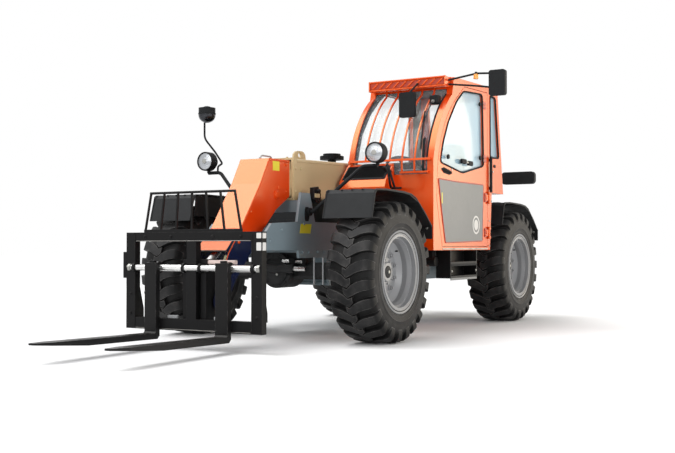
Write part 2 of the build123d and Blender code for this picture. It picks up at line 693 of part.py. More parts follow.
def wear_pads(half_x, half_z, inward, outward, y):
    """Four pads on a box of half_x by half_z, reaching inward and outward of it."""
    side_half, flat_half = PAD_HALF
    shapes = []
    for side in (-1, 1):
        x = sorted((side * (half_x - inward), side * (half_x + outward)))
        z = sorted((side * (half_z - inward), side * (half_z + outward)))
        shapes.append(block(x, y, (-side_half, side_half)))
        shapes.append(block((-flat_half, flat_half), y, z))
    return joined(shapes)


def outer_boom():
    inner_x = OUTER_HALF_X - OUTER_WALL
    inner_z = OUTER_HALF_Z - OUTER_WALL
    shape = box_section(OUTER_HALF_X, OUTER_HALF_Z, OUTER_WALL, (-BOOM_LENGTH, BOOM_TAIL))
    shape += wear_pads(inner_x, inner_z, SLIDE_GAP - SEAT_GAP, WELD, (-BOOM_LENGTH, PAD_LENGTH - BOOM_LENGTH))
    collar_y = (COLLAR[0] - BOOM_LENGTH, COLLAR[1] - BOOM_LENGTH)
    wide, tall = OUTER_HALF_X + COLLAR_PROUD, OUTER_HALF_Z + COLLAR_PROUD
    collar = block((-wide, wide), collar_y, (-tall, tall))
    shape += collar - block((-inner_x, inner_x), collar_y, (-inner_z, inner_z))
    boss = OUTER_HALF_X + BOOM_BOSS_PROUD
    shape += rod_x((0, 0), (-boss, boss), PIVOT_BOSS_R)
    shape -= rod_x((0, 0), (-boss - CUT, boss + CUT), PIVOT_R + PIN_GAP)
    return boom_place() * (shape + lifting_lug() + lift_bracket())


def lifting_lug():
    """The bored lug on top of the outer section, in the boom's own frame."""
    bore = (-LUG_S, OUTER_HALF_Z + LUG_RISE)
    rear = [(bore[0] + half, bore[1] + height) for half, height in LUG_OUTLINE]
    front = [(bore[0] - half, bore[1] + height) for half, height in reversed(LUG_OUTLINE)]
    plate = prism_x(rear + front, (-LUG_WALL / 2, LUG_WALL / 2))
    return plate - rod_x(bore, (-LUG_WALL, LUG_WALL), LUG_R)


def lift_bracket():
    """The two cheeks under the outer section that hold the lift rod's eye, in the boom's own frame."""
    eye = (-LIFT_EYE_S, -OUTER_HALF_Z - LIFT_EYE_DROP)
    root_z = WELD - OUTER_HALF_Z
    x = (LIFT_EYE_HALF + MOVE_GAP, LIFT_EYE_HALF + MOVE_GAP + BRACKET_WALL)
    outline = ((eye[0] - BRACKET_R, eye[1]), (eye[0] - BRACKET_ROOT, root_z),
               (eye[0] + BRACKET_ROOT, root_z), (eye[0] + BRACKET_R, eye[1]))
    return both_sides(rod_x(eye, x, BRACKET_R) + prism_x(outline, x))


def inner_boom():
    rear_y = (-INNER_TAIL - PAD_LENGTH, -INNER_TAIL)
    shape = box_section(INNER_HALF_X, INNER_HALF_Z, INNER_WALL, (-BOOM_LENGTH - 60, -INNER_TAIL))
    shape += wear_pads(INNER_HALF_X, INNER_HALF_Z, WELD, SLIDE_GAP - SEAT_GAP, rear_y)
    reach = (-OUTER_HALF_X, OUTER_HALF_X)
    head_room = block(reach, (HEAD_BACK_Y - 200, HEAD_BACK_Y), (PIVOT_Z - 500, PIVOT_Z + 500))
    return boom_place() * shape - head_room


def boom_head():
    """The gooseneck: two cheeks with a bent skin in front and behind, and both of its pins."""
    tip_y, tip_z = TILT_PIVOT
    inside = HEAD_HALF - HEAD_WALL
    # side outline, (y, z), from its top rear corner round to the tip and back
    outline = (
        (HEAD_BACK_Y, HEAD_BACK_Z[1]), (-1875, 1528), (-2005, 1310), (-2175, 1080), (-2285, 930),
        (-2445, 745), (-2540, 560), (tip_y - TIP_R + 6, tip_z + 20), (tip_y, tip_z - TIP_R),
        (tip_y + 62, tip_z - 30), (-2330, 540), (-2080, 800), (-1962, 931), (-1767, 1105),
        (HEAD_BACK_Y, HEAD_BACK_Z[0]),
    )
    cheek = prism_x(outline, (inside, HEAD_HALF)) + rod_x(TILT_PIVOT, (inside, HEAD_HALF + TIP_PROUD), TIP_R)
    span = (-inside, inside)
    face = face_yz(outline)
    skin = drawn_x(face, span) - drawn_x(inset(face, HEAD_SKIN), (span[0] - CUT, span[1] + CUT))
    skin &= block(span, (tip_y, HEAD_BACK_Y), (HEAD_SKIN_Z, HEAD_BACK_Z[1]))
    pin = HEAD_HALF + TIP_PROUD + 6
    shape = both_sides(cheek) + skin
    shape += rod_x(TILT_PIVOT, (-pin, pin), TILT_PIN_R)
    return shape + rod_x(TILT_BASE, (-HEAD_HALF - TIP_PROUD, HEAD_HALF + TIP_PROUD), TILT_PIN_R)


# ================================================================ cylinders
def cylinder_barrel(base, eye, length, barrel_r, rod_r, pin_r, eye_r, eye_half):
    """A barrel with its base eye, lying from base towards eye (both (y, z))."""
    def at(distance):
        return 0, *between(base, eye, distance)

    tube = rod(at(eye_r * 0.6), at(length), barrel_r)
    tube += rod(at(length - GLAND_LENGTH), at(length), barrel_r + GLAND_PROUD)
    tube -= rod(at(eye_r + CYLINDER_END_WALL), at(length + CUT), rod_r + PIN_GAP)
    tube += rod_x(base, (-eye_half, eye_half), eye_r)
    return tube - rod_x(base, (-eye_half - CUT, eye_half + CUT), pin_r + PIN_GAP)


def cylinder_rod(base, eye, start, rod_r, pin_r, eye_r, eye_half):
    """A piston rod from start, measured from the barrel's pin, to its eye."""
    bar = rod((0, *between(base, eye, start)), (0, *eye), rod_r)
    bar += rod_x(eye, (-eye_half, eye_half), eye_r)
    return bar - rod_x(eye, (-eye_half - CUT, eye_half + CUT), pin_r)


def lift_eye():
    return boom_point(LIFT_EYE_S, -OUTER_HALF_Z - LIFT_EYE_DROP)


def lift_barrel():
    return cylinder_barrel(LIFT_BASE, lift_eye(), LIFT_BARREL_LENGTH, LIFT_BARREL_R, LIFT_ROD_R,
                           LIFT_PIN_R, LIFT_BASE_R, LIFT_BASE_HALF)


def lift_rod():
    return cylinder_rod(LIFT_BASE, lift_eye(), LIFT_ROD_START, LIFT_ROD_R, LIFT_PIN_R, LIFT_EYE_R,
                        LIFT_EYE_HALF)


def tilt_barrel():
    return cylinder_barrel(TILT_BASE, TILT_EYE, TILT_BARREL_LENGTH, TILT_BARREL_R, TILT_ROD_R,
                           TILT_PIN_R, TILT_BASE_R, TILT_BASE_HALF)


def tilt_rod():
    return cylinder_rod(TILT_BASE, TILT_EYE, TILT_ROD_START, TILT_ROD_R, TILT_EYE_PIN_R, TILT_EYE_R,
                        TILT_EYE_HALF)


# ================================================================ carriage
def carriage_frame():
    front = CARRIAGE_FRONT_Y
    back = front + CARRIAGE_DEPTH
    depth = (front, back)
    width = (-CARRIAGE_HALF, CARRIAGE_HALF)
    shape = block(width, depth, TOP_BAR_Z) + block(width, depth, BOTTOM_BAR_Z)
    post = block((CARRIAGE_HALF - POST_W, CARRIAGE_HALF), depth, (BOTTOM_BAR_Z[0], TOP_BAR_Z[1]))
    gusset = ((back - WELD, 230), (back - WELD, 620), (back + 80, 300), (back + 80, 230))
    shape += both_sides(post + prism_x(gusset, GUSSET_X))
    shape += block((-CENTRE_POST_HALF, CENTRE_POST_HALF), depth, (BOTTOM_BAR_Z[1], TOP_BAR_Z[0]))
    # ears that carry the pivot and the tilt rod's eye
    tip_y, tip_z = TILT_PIVOT
    eye_y, eye_z = TILT_EYE
    outline = (
        (back - 20, BOTTOM_BAR_Z[0]), (back + 30, BOTTOM_BAR_Z[0]), (tip_y + 40, tip_z - 56),
        (tip_y + 66, tip_z), (tip_y + 50, tip_z + 60), (eye_y + 58, eye_z - 60), (eye_y + 60, eye_z + 20),
        (eye_y + 20, eye_z + 58), (back - 20, eye_z + 58),
    )
    ear = prism_x(outline, EAR_X)
    ear -= rod_x(TILT_PIVOT, (EAR_X[0] - CUT, EAR_X[1] + CUT), TILT_PIN_R + PIN_GAP)
    ear += rod_x(TILT_EYE, (TILT_EYE_HALF + MOVE_GAP, EAR_X[1] + 8), TILT_EYE_PIN_R)
    shape += both_sides(ear)
    # the tie that joins the ears' tops to the centre post, above the shaft
    shape += block((-EAR_X[1], EAR_X[1]), (back - 20, back), (eye_z + 22, eye_z + 58))
    return shape - rod_x((SHAFT_Y, SHAFT_Z), (-SHAFT_HALF, SHAFT_HALF), SHAFT_R + PIN_GAP)


def fork_shaft():
    return rod_x((SHAFT_Y, SHAFT_Z), (SEAT_GAP - SHAFT_HALF, SHAFT_HALF - SEAT_GAP), SHAFT_R)


def load_guard():
    low, high = TOP_BAR_Z[1], GUARD_TOP_Z
    bottom, top = GUARD_HALF
    half = GUARD_BAR / 2
    depth = (CARRIAGE_FRONT_Y, CARRIAGE_FRONT_Y + GUARD_BAR)
    rail_y = sum(depth) / 2
    shape = block((-bottom, bottom), depth, (low, low + GUARD_RAIL))
    shape += rod((-top, rail_y, high), (top, rail_y, high), GUARD_RAIL_R)
    for index in range(GUARD_BARS):
        share = index / (GUARD_BARS - 1) * 2 - 1
        foot, head = share * (bottom - half), share * (top - half)
        outline = ((foot - half, low), (foot + half, low), (head + half, high), (head - half, high))
        shape += prism_y(outline, depth)
    return shape


def fork(centre):
    """A fork about X = centre: a shank hung on the shaft and a blade that tapers to its tip."""
    rear = CARRIAGE_FRONT_Y - MOVE_GAP
    front = rear - FORK_THICK
    tip = front - FORK_LENGTH
    bottom = FORK_TOP_Z - FORK_THICK
    tip_z = FORK_TOP_Z + FORK_RISE
    root_z = FORK_TOP_Z + FORK_RISE * FORK_ROOT / FORK_LENGTH
    taper_z = bottom + FORK_RISE * FORK_TAPER / FORK_LENGTH
    top = SHAFT_Z + 40
    outline = (
        (rear, top), (front, top), (front, root_z + FORK_ROOT), (front - FORK_ROOT, root_z),
        (tip, tip_z), (tip, tip_z - FORK_TIP),
        (front - FORK_TAPER, taper_z), (rear - FORK_HEEL, bottom), (rear, bottom + FORK_HEEL),
    )
    x = (centre - FORK_W / 2, centre + FORK_W / 2)
    shaft = (SHAFT_Y, SHAFT_Z)
    shape = prism_x(outline, x)
    shape += rod_x(shaft, (centre - FORK_EYE_HALF, centre + FORK_EYE_HALF), FORK_EYE_R)
    shape -= rod_x(shaft, (x[0] - CUT, x[1] + CUT), SHAFT_R + PIN_GAP)
    across, along = FORK_TIP_CUT
    for edge, inward in ((x[0], 1), (x[1], -1)):
        beside = edge - inward
        wedge = ((beside, tip - CUT), (edge + inward * across, tip - CUT), (beside, tip + along))
        shape -= prism_z(wedge, (bottom, tip_z + CUT))
    return shape


# ================================================================ cab
def cab_profile():
    """The cab's side outline as a face in (y, z)."""
    front = CAB_FRONT_Y
    return make_face([
        Line((front, DECK_Z), (front, 1560)),
        ThreePointArc((front, 1560), (-543, 1862), (-228, 2209)),
        Line((-228, 2209), (-190, 2372)),
        Line((-190, 2372), (930, CAB_ROOF_Z)),
        Line((930, CAB_ROOF_Z), (CAB_REAR_Y, 1335)),
        Line((CAB_REAR_Y, 1335), (765, 1335)),
        Line((765, 1335), (712, DECK_Z)),
        Line((712, DECK_Z), (front, DECK_Z)),
    ])


def door_opening():
    """The door opening's outline as a face in (y, z)."""
    rear = DOOR_REAR_Y + DOOR_GAP
    return make_face([
        Line((-468, 790), (-585, 1210)),
        Line((-585, 1210), (-575, 1440)),
        ThreePointArc((-575, 1440), (-440, 1860), (-110, 2200)),
        Line((-110, 2200), (60, 2318)),
        Line((60, 2318), (rear, 2338)),
        Line((rear, 2338), (rear, 790)),
        Line((rear, 790), (-468, 790)),
    ])


def cab_shell():
    profile = cab_profile()
    x_low, x_high = CAB_X
    left_wall = (x_high - CAB_WALL - CUT, x_high + CUT)
    shape = drawn_x(profile, CAB_X)
    shape -= block((x_low - CUT, CAB_STEP_X), (-800, 800), (DECK_Z - CUT, CAB_STEP_Z))
    room = drawn_x(offset(profile, amount=-CAB_WALL), (x_low + CAB_WALL, x_high - CAB_WALL))
    room -= block((x_low, CAB_STEP_X + CAB_WALL), (-900, 900), (DECK_Z, CAB_STEP_Z + CAB_WALL))
    shape -= room
    shape -= block(SCREEN_X, (-900, -160), SCREEN_Z)
    shape -= drawn_x(door_opening(), left_wall)
    shape -= prism_x(RIGHT_WINDOW, (x_low - CUT, x_low + CAB_WALL + CUT))
    shape -= prism_x(QUARTER_WINDOW, left_wall)
    shape -= block(REAR_WINDOW_X, REAR_WINDOW_Y, REAR_WINDOW_Z)
    for z in HINGE_Z:
        top = z + HINGE_LENGTH
        pin_z = (z - HINGE_KNUCKLE, top + HINGE_KNUCKLE)
        shape += rod((HINGE_X, HINGE_Y, pin_z[0]), (HINGE_X, HINGE_Y, pin_z[1]), HINGE_PIN_R)
        for low, high in ((pin_z[0], z - SEAT_GAP), (top + SEAT_GAP, pin_z[1])):
            shape += rod((HINGE_X, HINGE_Y, low), (HINGE_X, HINGE_Y, high), HINGE_R)
            shape += block((x_high, HINGE_X), (HINGE_Y, HINGE_Y + 55), (low, high))
    return shape


def bent_pane(depth, x, y, z):
    """A pane that follows the cab's profile at a depth behind its skin, cut to x, y and z."""
    profile = cab_profile()
    wide = (x[0] - CUT, x[1] + CUT)
    skin = drawn_x(offset(profile, amount=-depth), x) - drawn_x(offset(profile, amount=-depth - GLASS), wide)
    return skin & block((x[0] + SEAT_GAP, x[1] - SEAT_GAP), y, (z[0] + SEAT_GAP, z[1] - SEAT_GAP))


def flat_pane(outline, skin_x, side):
    """A side window's pane, at its depth inside the wall whose skin is at skin_x."""
    near, far = skin_x - side * PANE_DEPTH, skin_x - side * (PANE_DEPTH + GLASS)
    return drawn_x(inset(face_yz(outline), SEAT_GAP), sorted((near, far)))


def cab_glass():
    """The windscreen, the rear pane, the right-hand pane and the left quarter pane."""
    return joined((
        bent_pane(SCREEN_DEPTH, SCREEN_X, (-900, -160), SCREEN_Z),
        bent_pane(PANE_DEPTH, REAR_WINDOW_X, REAR_WINDOW_Y, REAR_WINDOW_Z),
        flat_pane(RIGHT_WINDOW, CAB_X[0], RIGHT),
        flat_pane(QUARTER_WINDOW, CAB_X[1], LEFT),
    ))


def windscreen_guard():
    """Bent bars ahead of the windscreen, hung from a cross beam under the roof's front edge."""
    profile = cab_profile()
    wide = (CAB_X[0] - CUT, CAB_X[1] + CUT)
    near, far = SCREEN_BAR_GAP, SCREEN_BAR_GAP + SCREEN_BAR
    sheet = drawn_x(offset(profile, amount=far), CAB_X) - drawn_x(offset(profile, amount=near), wide)
    half = SCREEN_BAR / 2
    y = (-900, VISOR_Y[1])
    shape = block(VISOR_X, VISOR_Y, VISOR_Z)
    first, last = SCREEN_BAR_X
    for index in range(SCREEN_BARS):
        x = first + (last - first) * index / (SCREEN_BARS - 1)
        foot = FOOT_BAR_Z[0] if x > FOOT_BAR_X[0] else CROSS_BAR_Z[0]
        shape += sheet & block((x - half, x + half), y, (foot, VISOR_Z[0] + WELD))
    for x, z in ((CROSS_BAR_X, CROSS_BAR_Z), (FOOT_BAR_X, FOOT_BAR_Z)):
        shape += sheet & block(x, y, z)
        for bracket in ((x[0], x[0] + BRACKET_W), (x[1] - BRACKET_W, x[1])):
            shape += block(bracket, (CAB_FRONT_Y - near - WELD, CAB_FRONT_Y + 20), z)
    return shape - drawn_x(profile, wide)


def front_cowl():
    """The ventilation cowl below the windscreen, on the cab's boom side."""
    back = (CAB_FRONT_Y, COWL_FRONT[-1][1])
    outline = COWL_FRONT + (back,)
    core = inset(face_yz(outline), COWL_WALL)
    return prism_x(outline, COWL_X) - drawn_x(core, (COWL_X[0] + COWL_WALL, COWL_X[1] - COWL_WALL))


def left_door():
    x_high = CAB_X[1]
    x = (x_high - DOOR_WALL, x_high)
    shape = drawn_x(inset(door_opening(), DOOR_GAP), x)
    shape -= prism_x(DOOR_WINDOW, (x[0] - CUT, x[1] + CUT))
    for z in HINGE_Z:
        top = z + HINGE_LENGTH
        shape += rod((HINGE_X, HINGE_Y, z), (HINGE_X, HINGE_Y, top), HINGE_R)
        shape += block((x_high - WELD, HINGE_X), (DOOR_REAR_Y - 60, HINGE_Y), (z, top))
        shape -= rod((HINGE_X, HINGE_Y, z - CUT), (HINGE_X, HINGE_Y, top + CUT), HINGE_PIN_R + PIN_GAP)
    return shape


def left_door_glass():
    return flat_pane(DOOR_WINDOW, CAB_X[1], LEFT)


def driver_seat():
    base = block((500, 800), (150, 480), (DECK_Z + CAB_WALL, SEAT_Z[0]))
    cushion = fillet(block(SEAT_X, (80, 570), SEAT_Z).edges(), 35)
    back = ((470, SEAT_Z[1] - 15), (560, SEAT_Z[1] - 15), (650, 1800), (600, 1840), (560, 1830))
    return base + cushion + prism_x(back, (SEAT_X[0] + 20, SEAT_X[1] - 20))


def dashboard():
    """The console below the windscreen with the steering column and wheel."""
    front = CAB_FRONT_Y + CAB_WALL
    console = prism_x(
        ((front, 1120), (front, 1450), (front + 30, 1500), (front + 160, 1480), (front + 150, 1120)),
        (CAB_STEP_X + CAB_WALL, CAB_X[1] - CAB_WALL - MOVE_GAP))
    pedestal = block((600, 700), (front, front + 120), (DECK_Z + CAB_WALL, 1140))
    foot, centre = (WHEEL_X, *COLUMN_FOOT), (WHEEL_X, *WHEEL_YZ)
    tilt = (0, WHEEL_YZ[0] - COLUMN_FOOT[0], WHEEL_YZ[1] - COLUMN_FOOT[1])
    ring_r, tube_r = WHEEL_RING
    wheel = Torus(ring_r, tube_r) + Box(2 * ring_r, 26, 12) + Cylinder(46, 30)
    return console + pedestal + rod(foot, centre, COLUMN_R) + Plane(origin=centre, z_dir=tilt) * wheel


def cab_step():
    """Two hanging cheeks with two treads and a back plate, bolted under the cab floor."""
    low, high = STEP_Y
    height = (STEP_Z[0], DECK_Z)
    shape = block((STEP_X[0], STEP_X[0] + STEP_PLATE), STEP_Y, height)
    for y in ((low, low + STEP_PLATE), (high - STEP_PLATE, high)):
        shape += block(STEP_X, y, height)
    for z in STEP_Z:
        shape += block(STEP_X, STEP_Y, (z, z + STEP_TREAD))
    return shape


# ================================================================ engine pod
def engine_housing():
    x_low, x_high = POD_X
    y_low, y_high = POD_Y
    wall = POD_WALL
    tub_x = (x_low + wall, x_high - wall)
    tub_y = (y_low + wall, y_high - wall)
    shape = block(POD_X, POD_Y, (DECK_Z, POD_RIM_Z)) - block(tub_x, tub_y, (DECK_Z + wall, POD_RIM_Z + CUT))
    shape += block((x_high - wall, x_high), (y_low, HOOD_REAR_Y), (POD_RIM_Z - WELD, HOOD_TOP_Z - 20))
    rear_box = block(POD_X, (HOOD_REAR_Y + MOVE_GAP, y_high), (POD_RIM_Z - 40, REAR_BOX_TOP_Z))
    shape += chamfer(rear_box.edges().filter_by(Axis.Y).sort_by(Axis.Z)[-1:], REAR_BOX_CHAMFER)
    for y in HOOD_HINGE_Y:
        rear, front = y + HOOD_BARREL[1], y + HOOD_EAR[0]
        shape += block((HOOD_EAR_X, x_high), (front, y + HOOD_EAR[1]), HOOD_EAR_Z)
        shape += rod((HOOD_HINGE_X, front, HOOD_HINGE_Z), (HOOD_HINGE_X, rear, HOOD_HINGE_Z), HINGE_PIN_R)
    return shape


def engine_block():
    return block(ENGINE_X, ENGINE_Y, (DECK_Z + POD_WALL, ENGINE_TOP_Z))


def hood_body(x, y, z, slope_z, edge):
    """A box with a sloping front and a bevelled outer top edge."""
    outline = ((y[0], z[0]), (y[0], slope_z), (y[0] + HOOD_SLOPE[1], z[1]), (y[1], z[1]), (y[1], z[0]))
    shape = prism_x(outline, x)
    outer_top = shape.edges().filter_by(Axis.Y).sort_by(Axis.X)[0:2].sort_by(Axis.Z)[-1:]
    return chamfer(outer_top, edge)


def engine_hood():
    x = (POD_X[0], HOOD_EAR_X - MOVE_GAP)
    y = (POD_Y[0], HOOD_REAR_Y)
    rim = POD_RIM_Z + SEAT_GAP
    wall = POD_WALL
    shape = hood_body(x, y, (rim, HOOD_TOP_Z), HOOD_SLOPE[0], HOOD_CHAMFER)
    shape -= hood_body((x[0] + wall, x[1] + CUT), (y[0] + wall, y[1] - wall), (rim - CUT, HOOD_TOP_Z - wall),
                       HOOD_SLOPE[0] - wall / 2, HOOD_CHAMFER - wall / 2)
    for place in HOOD_HINGE_Y:
        low, high = place + HOOD_BARREL[0], place + HOOD_BARREL[1]
        shape += rod((HOOD_HINGE_X, low, HOOD_HINGE_Z), (HOOD_HINGE_X, high, HOOD_HINGE_Z), HINGE_R)
        shape += block((HOOD_HINGE_X - HOOD_LEAF, HOOD_HINGE_X), (low, high), (HOOD_TOP_Z - 3, HOOD_HINGE_Z))
        bore = HINGE_PIN_R + PIN_GAP
        shape -= rod((HOOD_HINGE_X, low - CUT, HOOD_HINGE_Z), (HOOD_HINGE_X, high + CUT, HOOD_HINGE_Z), bore)
    return shape


def air_precleaner():
    """The intake pipe behind the hood with its mushroom cap."""
    low, high = INTAKE_CAP_Z
    pipe = rod((*INTAKE, REAR_BOX_TOP_Z), (*INTAKE, low + WELD), INTAKE_R)
    cap = rod((*INTAKE, low), (*INTAKE, high), INTAKE_CAP_R)
    return pipe + cap + rod((*INTAKE, high), (*INTAKE, INTAKE_DOME_Z), INTAKE_DOME_R)


# ================================================================ lamps, mirrors, rear lights
def headlamps():
    """A lamp each side on a bent tube bolted to the frame's front post."""
    x, y, z = LAMP
    front, edge, back = LAMP_Y
    foot_y, foot_z = RAIL_FOOT
    route = ((FRAME_HALF - 20, foot_y, foot_z), (FRAME_HALF + 40, foot_y + 10, foot_z + 4),
             (*RAIL_ELBOW, RAIL_Z), (x, y, RAIL_Z))
    rail = tube_path(route, (20, 90), RAIL_R)
    rail -= block((-FRAME_HALF, FRAME_HALF), POST_Y, (FRAME_TOP_Z, POST_TOP_Z))
    return both_sides(joined((
        rod((x, y + front, z), (x, y + edge, z), LAMP_R),
        rod((x, y + edge, z), (x, y + back, z), LAMP_BACK_R),
        rail,
        rod((x, y, RAIL_Z), (x, y, z - LAMP_R + WELD), RAIL_R),
        rod((FRAME_HALF, foot_y, foot_z), (FRAME_HALF + 22, foot_y, foot_z), RAIL_FOOT_R),
    )))


def dome_mirror():
    """The bowl-shaped mirror on its stalk, standing on the right lamp's rail."""
    x, y = DOME
    foot_x, foot_y = STALK_FOOT
    foot_z = RAIL_Z + RAIL_R + SEAT_GAP
    low, high = DOME_Z
    route = ((foot_x, foot_y, foot_z), (foot_x, foot_y, foot_z + 40), (foot_x - 12, y + 87, 1566),
             (x + 30, y + 91, 1672), (x - 74, y + 60, 1806), (x - 42, y + 18, low - 10))
    bowl = rod((x, y, low), (x, y, high), DOME_R)
    bowl += Pos(x, y, low) * Sphere(DOME_R)
    return tube_path(route, (30, 30, 50, 90), STALK_R) + bowl


def cab_mirror():
    """The flat mirror on two arms from the visor's left end."""
    plate = block(CAB_MIRROR_X, CAB_MIRROR_Y, CAB_MIRROR_Z)
    plate = fillet(plate.edges().filter_by(Axis.Y), 22)
    for root_z, knee_z, end_z in ((2336, 2377, 2368), (2300, 2262, 2240)):
        route = ((VISOR_X[1] - 10, -250, root_z), (1330, -240, knee_z), (CAB_MIRROR_X[0] + 10, -236, end_z))
        plate += tube_path(route, (80,), STALK_R)
    return plate - block((VISOR_X[1] - 60, VISOR_X[1]), (VISOR_Y[0], -150), (2200, 2450))


def screen_mirror():
    """The mirror hung ahead of the windscreen from the visor."""
    plate = block(SCREEN_MIRROR_X, SCREEN_MIRROR_Y, SCREEN_MIRROR_Z)
    plate = fillet(plate.edges().filter_by(Axis.Y), 18)
    x = sum(SCREEN_MIRROR_X) / 2
    visor_y = VISOR_Y[0] - SEAT_GAP
    hanger = rod((x, visor_y, 2320), (x, -535, SCREEN_MIRROR_Z[1] - 20), STALK_R)
    return plate + hanger - block(SCREEN_MIRROR_X, (visor_y, 0), (2200, 2400))


def mirrors():
    return dome_mirror() + cab_mirror() + screen_mirror()


def rear_lights():
    """A lamp bar each side, on arms from the boom tower."""
    bar = block(REAR_LAMP_X, REAR_LAMP_Y, REAR_LAMP_Z)
    bar = fillet(bar.edges().filter_by(Axis.Y), REAR_LAMP_CORNER)
    arm = rod((FRAME_HALF - 30, *REAR_ARM), (REAR_LAMP_X[0] + 40, REAR_LAMP_Y[0] + 25, 1570), REAR_ARM_R)
    arm -= block((-FRAME_HALF, FRAME_HALF), (1500, 2000), (1300, 1700))
    return both_sides(bar + arm)


# ================================================================ write every node
SINGLE = {
    "frame_side_plates": frame_side_plates,
    "frame_cross_members": frame_cross_members,
    "outriggers": outriggers,
    "counterweight": counterweight,
    "outer_boom": outer_boom,
    "inner_boom": inner_boom,
    "boom_head": boom_head,
    "lift_cylinder_barrel": lift_barrel,
    "lift_cylinder_rod": lift_rod,
    "tilt_cylinder_barrel": tilt_barrel,
    "tilt_cylinder_rod": tilt_rod,
    "carriage_frame": carriage_frame,
    "fork_shaft": fork_shaft,
    "load_guard": load_guard,
    "cab_shell": cab_shell,
    "cab_glass": cab_glass,
    "windscreen_guard": windscreen_guard,
    "front_cowl": front_cowl,
    "left_door": left_door,
    "left_door_glass": left_door_glass,
    "driver_seat": driver_seat,
    "dashboard": dashboard,
    "cab_step": cab_step,
    "engine_housing": engine_housing,
    "engine_block": engine_block,
    "engine_hood": engine_hood,
    "air_precleaner": air_precleaner,
    "headlamps": headlamps,
    "mirrors": mirrors,
    "rear_lights": rear_lights,
}


def write(name, shape):
    export_step(shape, f"parts/{name}.step")


def main():
    os.makedirs("parts", exist_ok=True)
    for name, make in SINGLE.items():
        write(name, make())
    write("front_axle", axle(FRONT_Y, -1))
    write("rear_axle", axle(REAR_Y, 1))
    corner = {"tyre": tyre(), "rim": rim(), "knuckle": knuckle(), "fender": fender()}
    for axle_name, axle_y in (("front", FRONT_Y), ("rear", REAR_Y)):
        for side_name, side in (("left", LEFT), ("right", RIGHT)):
            for piece, shape in corner.items():
                write(f"{axle_name}_{side_name}_{piece}", Pos(0, axle_y, 0) * on_side(shape, side))
    write("left_fork", fork(LEFT_FORK_X))
    write("right_fork", fork(-RIGHT_FORK_X))


main()
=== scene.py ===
"""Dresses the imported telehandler: finishes, tread, glazing, trim, lamps and the driver's seat.

Metres, in the CAD frame. +Z is up, the machine drives towards -Y and its cab is on the +X side. Each
sub-assembly is a class that holds its sizes, builds its meshes and dresses the CAD nodes that it owns.
"""
import logging
import math
from collections.abc import Iterable, Sequence
from dataclasses import dataclass
from enum import Enum
from typing import Any

import bmesh
import bpy
from mathutils import Matrix, Vector


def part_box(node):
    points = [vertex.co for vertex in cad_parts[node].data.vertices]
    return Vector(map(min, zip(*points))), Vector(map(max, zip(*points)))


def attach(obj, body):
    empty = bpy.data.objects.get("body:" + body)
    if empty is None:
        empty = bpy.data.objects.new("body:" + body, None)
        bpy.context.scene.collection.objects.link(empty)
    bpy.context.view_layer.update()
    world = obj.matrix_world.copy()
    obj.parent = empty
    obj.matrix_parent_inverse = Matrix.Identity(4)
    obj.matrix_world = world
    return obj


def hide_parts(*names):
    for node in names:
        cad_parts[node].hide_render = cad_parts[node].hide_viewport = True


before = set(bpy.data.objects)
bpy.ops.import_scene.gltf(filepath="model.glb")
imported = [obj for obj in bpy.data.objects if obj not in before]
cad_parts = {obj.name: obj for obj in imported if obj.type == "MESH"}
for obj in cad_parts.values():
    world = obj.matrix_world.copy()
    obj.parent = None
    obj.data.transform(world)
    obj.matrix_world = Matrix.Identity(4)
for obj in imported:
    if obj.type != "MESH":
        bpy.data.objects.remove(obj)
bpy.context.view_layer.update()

LOG = logging.getLogger("telehandler")

Colour = tuple[float, float, float]
Point = tuple[float, float, float]
Flat = tuple[float, float]


class Corner(Enum):
    """The four wheels, by the start of their nodes' names."""

    FRONT_LEFT = "front_left"
    FRONT_RIGHT = "front_right"
    REAR_LEFT = "rear_left"
    REAR_RIGHT = "rear_right"

    @property
    def side(self) -> int:
        """1 on the left of the machine and -1 on the right."""
        return 1 if self.value.endswith("left") else -1


class Bearing(Enum):
    """The plane that a flat outline is drawn on, by the axis that stands square to it."""

    X = "x"
    Y = "y"
    Z = "z"

    def lift(self, flat: Flat, along: float) -> Vector:
        """A flat point at a place along the axis.

        Args:
            flat: The point's two coordinates, in the order X, Y, Z without the axis.
            along: Its coordinate on the axis.

        Returns:
            The point in the row frame.
        """
        a, b = flat
        return Vector({"x": (along, a, b), "y": (a, along, b), "z": (a, b, along)}[self.value])


def srgb(red: int, green: int, blue: int) -> Colour:
    """A screen colour of 0 to 255 as a linear one."""
    return tuple(((c / 255 + 0.055) / 1.055) ** 2.4 if c > 10 else c / 3295 for c in (red, green, blue))


